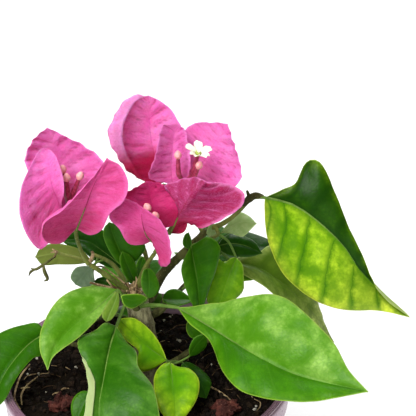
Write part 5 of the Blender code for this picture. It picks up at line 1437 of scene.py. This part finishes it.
# painted shade and painted reflection of the dark mix: the top of the lip, from 103 to 104.6 mm up, is
# darkened
mauve.coat(mauve.fade(height, 0.1030, 0.1046, 0.0, 0.75), (120, 55, 80))
shine = mauve.fade(dust, 0.3, 0.8, 0.24, 0.45)
pot.data.materials.clear()
pot.data.materials.append(mauve.done(mauve.add(flow, dust), 0.12, 0.0002, shine))
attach(pot, "root")
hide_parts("pot")
print("pot wears", mauve.made.name)

# %% [markdown]
# ## The potting mix
# Moist mix is almost black, and its look comes from its lumps.  Its top is a dense turned
# mesh pushed up and down by noise of three sizes.

# %% Mix
SOIL_TOP, GAP = 97.0, 0.35
mix = turned_mesh("potting_mix_top", [
    (0, SOIL_TOP), *((radius, SOIL_TOP) for radius in np.linspace(0.8, 55.8, 110)),
    (LIP + 0.5 - GAP, BAND_FOOT + 1.2), (SHOULDER_INSIDE - GAP, BAND_FOOT - 0.8),
    (FOOT_INSIDE - GAP, FLOOR_THICK + 1.5), (FOOT_INSIDE - 0.8 - GAP, FLOOR_THICK + GAP),
    (0, FLOOR_THICK + GAP)], 300)


def soil_height(x, y):
    """Height of the mix at a place, in mm: broad swells, lumps, and grit."""
    radius = math.hypot(x, y)
    broad = noise.fractal(Vector((x, y, 3.0)) / 22.0, 1.0, 2.0, 2) * 1.3
    lumps = abs(noise.noise(Vector((x, y, 9.0)) / 4.2)) * 1.6
    grit = noise.fractal(Vector((x, y, 5.0)) / 1.5, 0.8, 2.0, 2) * 0.45
    collar = 1.2 * math.exp(-((radius - 3) / 9) ** 2)
    return SOIL_TOP - 0.6 + (broad + lumps + grit + collar) * min(1.0, (56.2 - radius) / 3)


for vert in mix.data.vertices:
    if vert.co.z > (SOIL_TOP - 0.5) * MM:
        vert.co.z = soil_height(vert.co.x / MM, vert.co.y / MM) * MM
mix.data.shade_smooth()
earth = Finish("dark_mix", 0.95, Specular_IOR_Level=0.06)
broad, grains = earth.cloud(130, 5), earth.cells(900)
earth.body = earth.blend(earth.fade(broad, 0.35, 0.7, 0.0, 1.0), (3, 2, 2), (10, 7, 4))
earth.coat(earth.fade(grains, 0.02, 0.22, 0.5), (22, 14, 8))
shine = earth.fade(broad, 0.3, 0.7, 0.7, 0.98)
mix.data.materials.append(earth.done(earth.add(broad, grains), 0.8, 0.0006, shine))
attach(mix, "root")
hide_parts("potting_mix")
print("mix faces:", len(mix.data.polygons))

# %% [markdown]
# ## What lies on the mix
# Crumbs of bark and clods of peat break up the surface, a few pale grains of perlite and
# short straws catch the light, and thin roots lie about in loops.  Near the front rim are
# some old fallen bracts, brown and crumpled.

# %% Litter
PEAT, CRUMB, GRAIN, ROOT, LOOSE_STRAW, OLD_BRACT = range(6)
LITTER_SKINS = [
    wood_skin("peat_clod", (14, 9, 6), (5, 4, 3), (45, 28, 16), 500, 0.9),
    wood_skin("bark_crumb", (24, 14, 8), (8, 5, 3), (70, 45, 25), 500, 0.85),
    wood_skin("pale_grain", (520, 500, 430), (300, 270, 200), (700, 680, 620), 700, depth=0.3),
    wood_skin("fine_root", (110, 65, 32), (50, 30, 15), (220, 150, 80), 600, depth=0.3),
    WOODS[STRAW],
    wood_skin("old_bract", (100, 28, 20), (35, 10, 8), (260, 130, 85), 220, 0.75),
]


def lump(place, size, stretch, seed, rings=7, sides=10):
    """A rough closed pebble about size mm wide."""
    turn_by = turned(*(random.Random(seed).uniform(0, 360) for _ in range(3)))
    heights = np.linspace(-1, 1, rings)
    path = np.outer(heights * stretch, (0, 0, 1.0))
    shell, faces = sweep(path, np.sqrt(np.maximum(0.03, 1 - heights ** 2)), sides)
    shell = shell * (1 + 0.35 * crinkle(shell, 0.9, seed)[:, None])
    return place + (shell * size / 2) @ turn_by.T, faces


def lying(points, radius, lift=0.15):
    """A thin stem laid over the mix through (x, y) points."""
    knots = [(x, y, soil_height(x, y) + lift + radius) for x, y in points]
    radii = [radius * 0.7] + [radius] * (len(knots) - 2) + [radius * 0.5]
    path, widths = rounded(knots, radii, 0.8)
    floor_line = np.array([soil_height(x, y) for x, y, _ in path]) + radius * 0.6
    path[:, 2] = np.maximum(path[:, 2], floor_line)
    return sweep(path, widths, 7)


def somewhere(widest):
    """A random place on the mix."""
    reach, turn = widest * math.sqrt(dice.random()), dice.uniform(0, 2 * math.pi)
    return reach * math.cos(turn), reach * math.sin(turn)


litter = []
dice = random.Random(4)
for number in range(1500):
    x, y = somewhere(54.0)
    kind = dice.choices((PEAT, CRUMB, GRAIN), (68, 27, 5))[0]
    size = dice.uniform(0.5, 1.5) if kind == GRAIN else dice.uniform(0.7, 2.6)
    place = np.array((x, y, soil_height(x, y) + size * 0.12))
    litter.append((*lump(place, size, dice.uniform(0.7, 2.2), number), kind))
for number in range(90):
    points = [somewhere(52.0)]
    heading = dice.uniform(0, 6.28)
    for step in range(dice.randint(2, 5)):
        heading += dice.uniform(-0.9, 0.9)
        x, y = points[-1]
        points.append((x + 3.2 * math.cos(heading), y + 3.2 * math.sin(heading)))
    if all(math.hypot(*point) < 54 for point in points):
        stem = lying(points, dice.uniform(0.10, 0.28))
        litter.append((*stem, dice.choice((ROOT, ROOT, ROOT, LOOSE_STRAW))))
for points in ([(-50.4, 12), (-53, 5), (-54, -3), (-53.5, -12), (-50, -20)],
               [(-46, 3), (-49.5, -3), (-51, -10), (-50, -16)],
               [(22, -1), (27, -4), (32, -9), (36, -15), (38, -20)],
               [(6, -30), (12, -33), (19, -32), (26, -27)]):
    litter.append((*lying(points, 0.42, 0.5), LOOSE_STRAW))
for x, y in ((-50.2, -5), (-37, -8), (-34, -6)):
    stem = lying([(x - 1.6, y - 0.6), (x, y), (x + 1.8, y + 0.9)], 0.45, 0.4)
    litter.append((*stem, LOOSE_STRAW))
print("bits on the mix:", len(litter))

# %% Fallen bracts
fallen = []
for seed, (x, y, across) in enumerate(((-34, -17, 7.0), (-30.5, -15, 5.0), (32, -19, 8.0),
                                       (27, -36, 5.0))):
    for number in range(3):
        shell, faces = lump(np.zeros(3), across, 0.55, 50 + 7 * seed + number, 22, 30)
        shell *= 1 + 0.45 * crinkle(unit(shell) * 4.0, 1.5, seed + 9 * number)[:, None]
        place = (x + 1.8 * math.cos(2.1 * number), y + 1.8 * math.sin(2.1 * number),
                 soil_height(x, y) + across * 0.22)
        fallen.append((shell + place, faces, OLD_BRACT))
bits = gather("litter", litter, LITTER_SKINS)
bits.data.shade_flat()
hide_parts("potting_mix")
old_bracts = gather("fallen_bracts", fallen, LITTER_SKINS)
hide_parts("potting_mix")
print("litter faces:", len(bits.data.polygons), "and", len(old_bracts.data.polygons))

# %% [markdown]
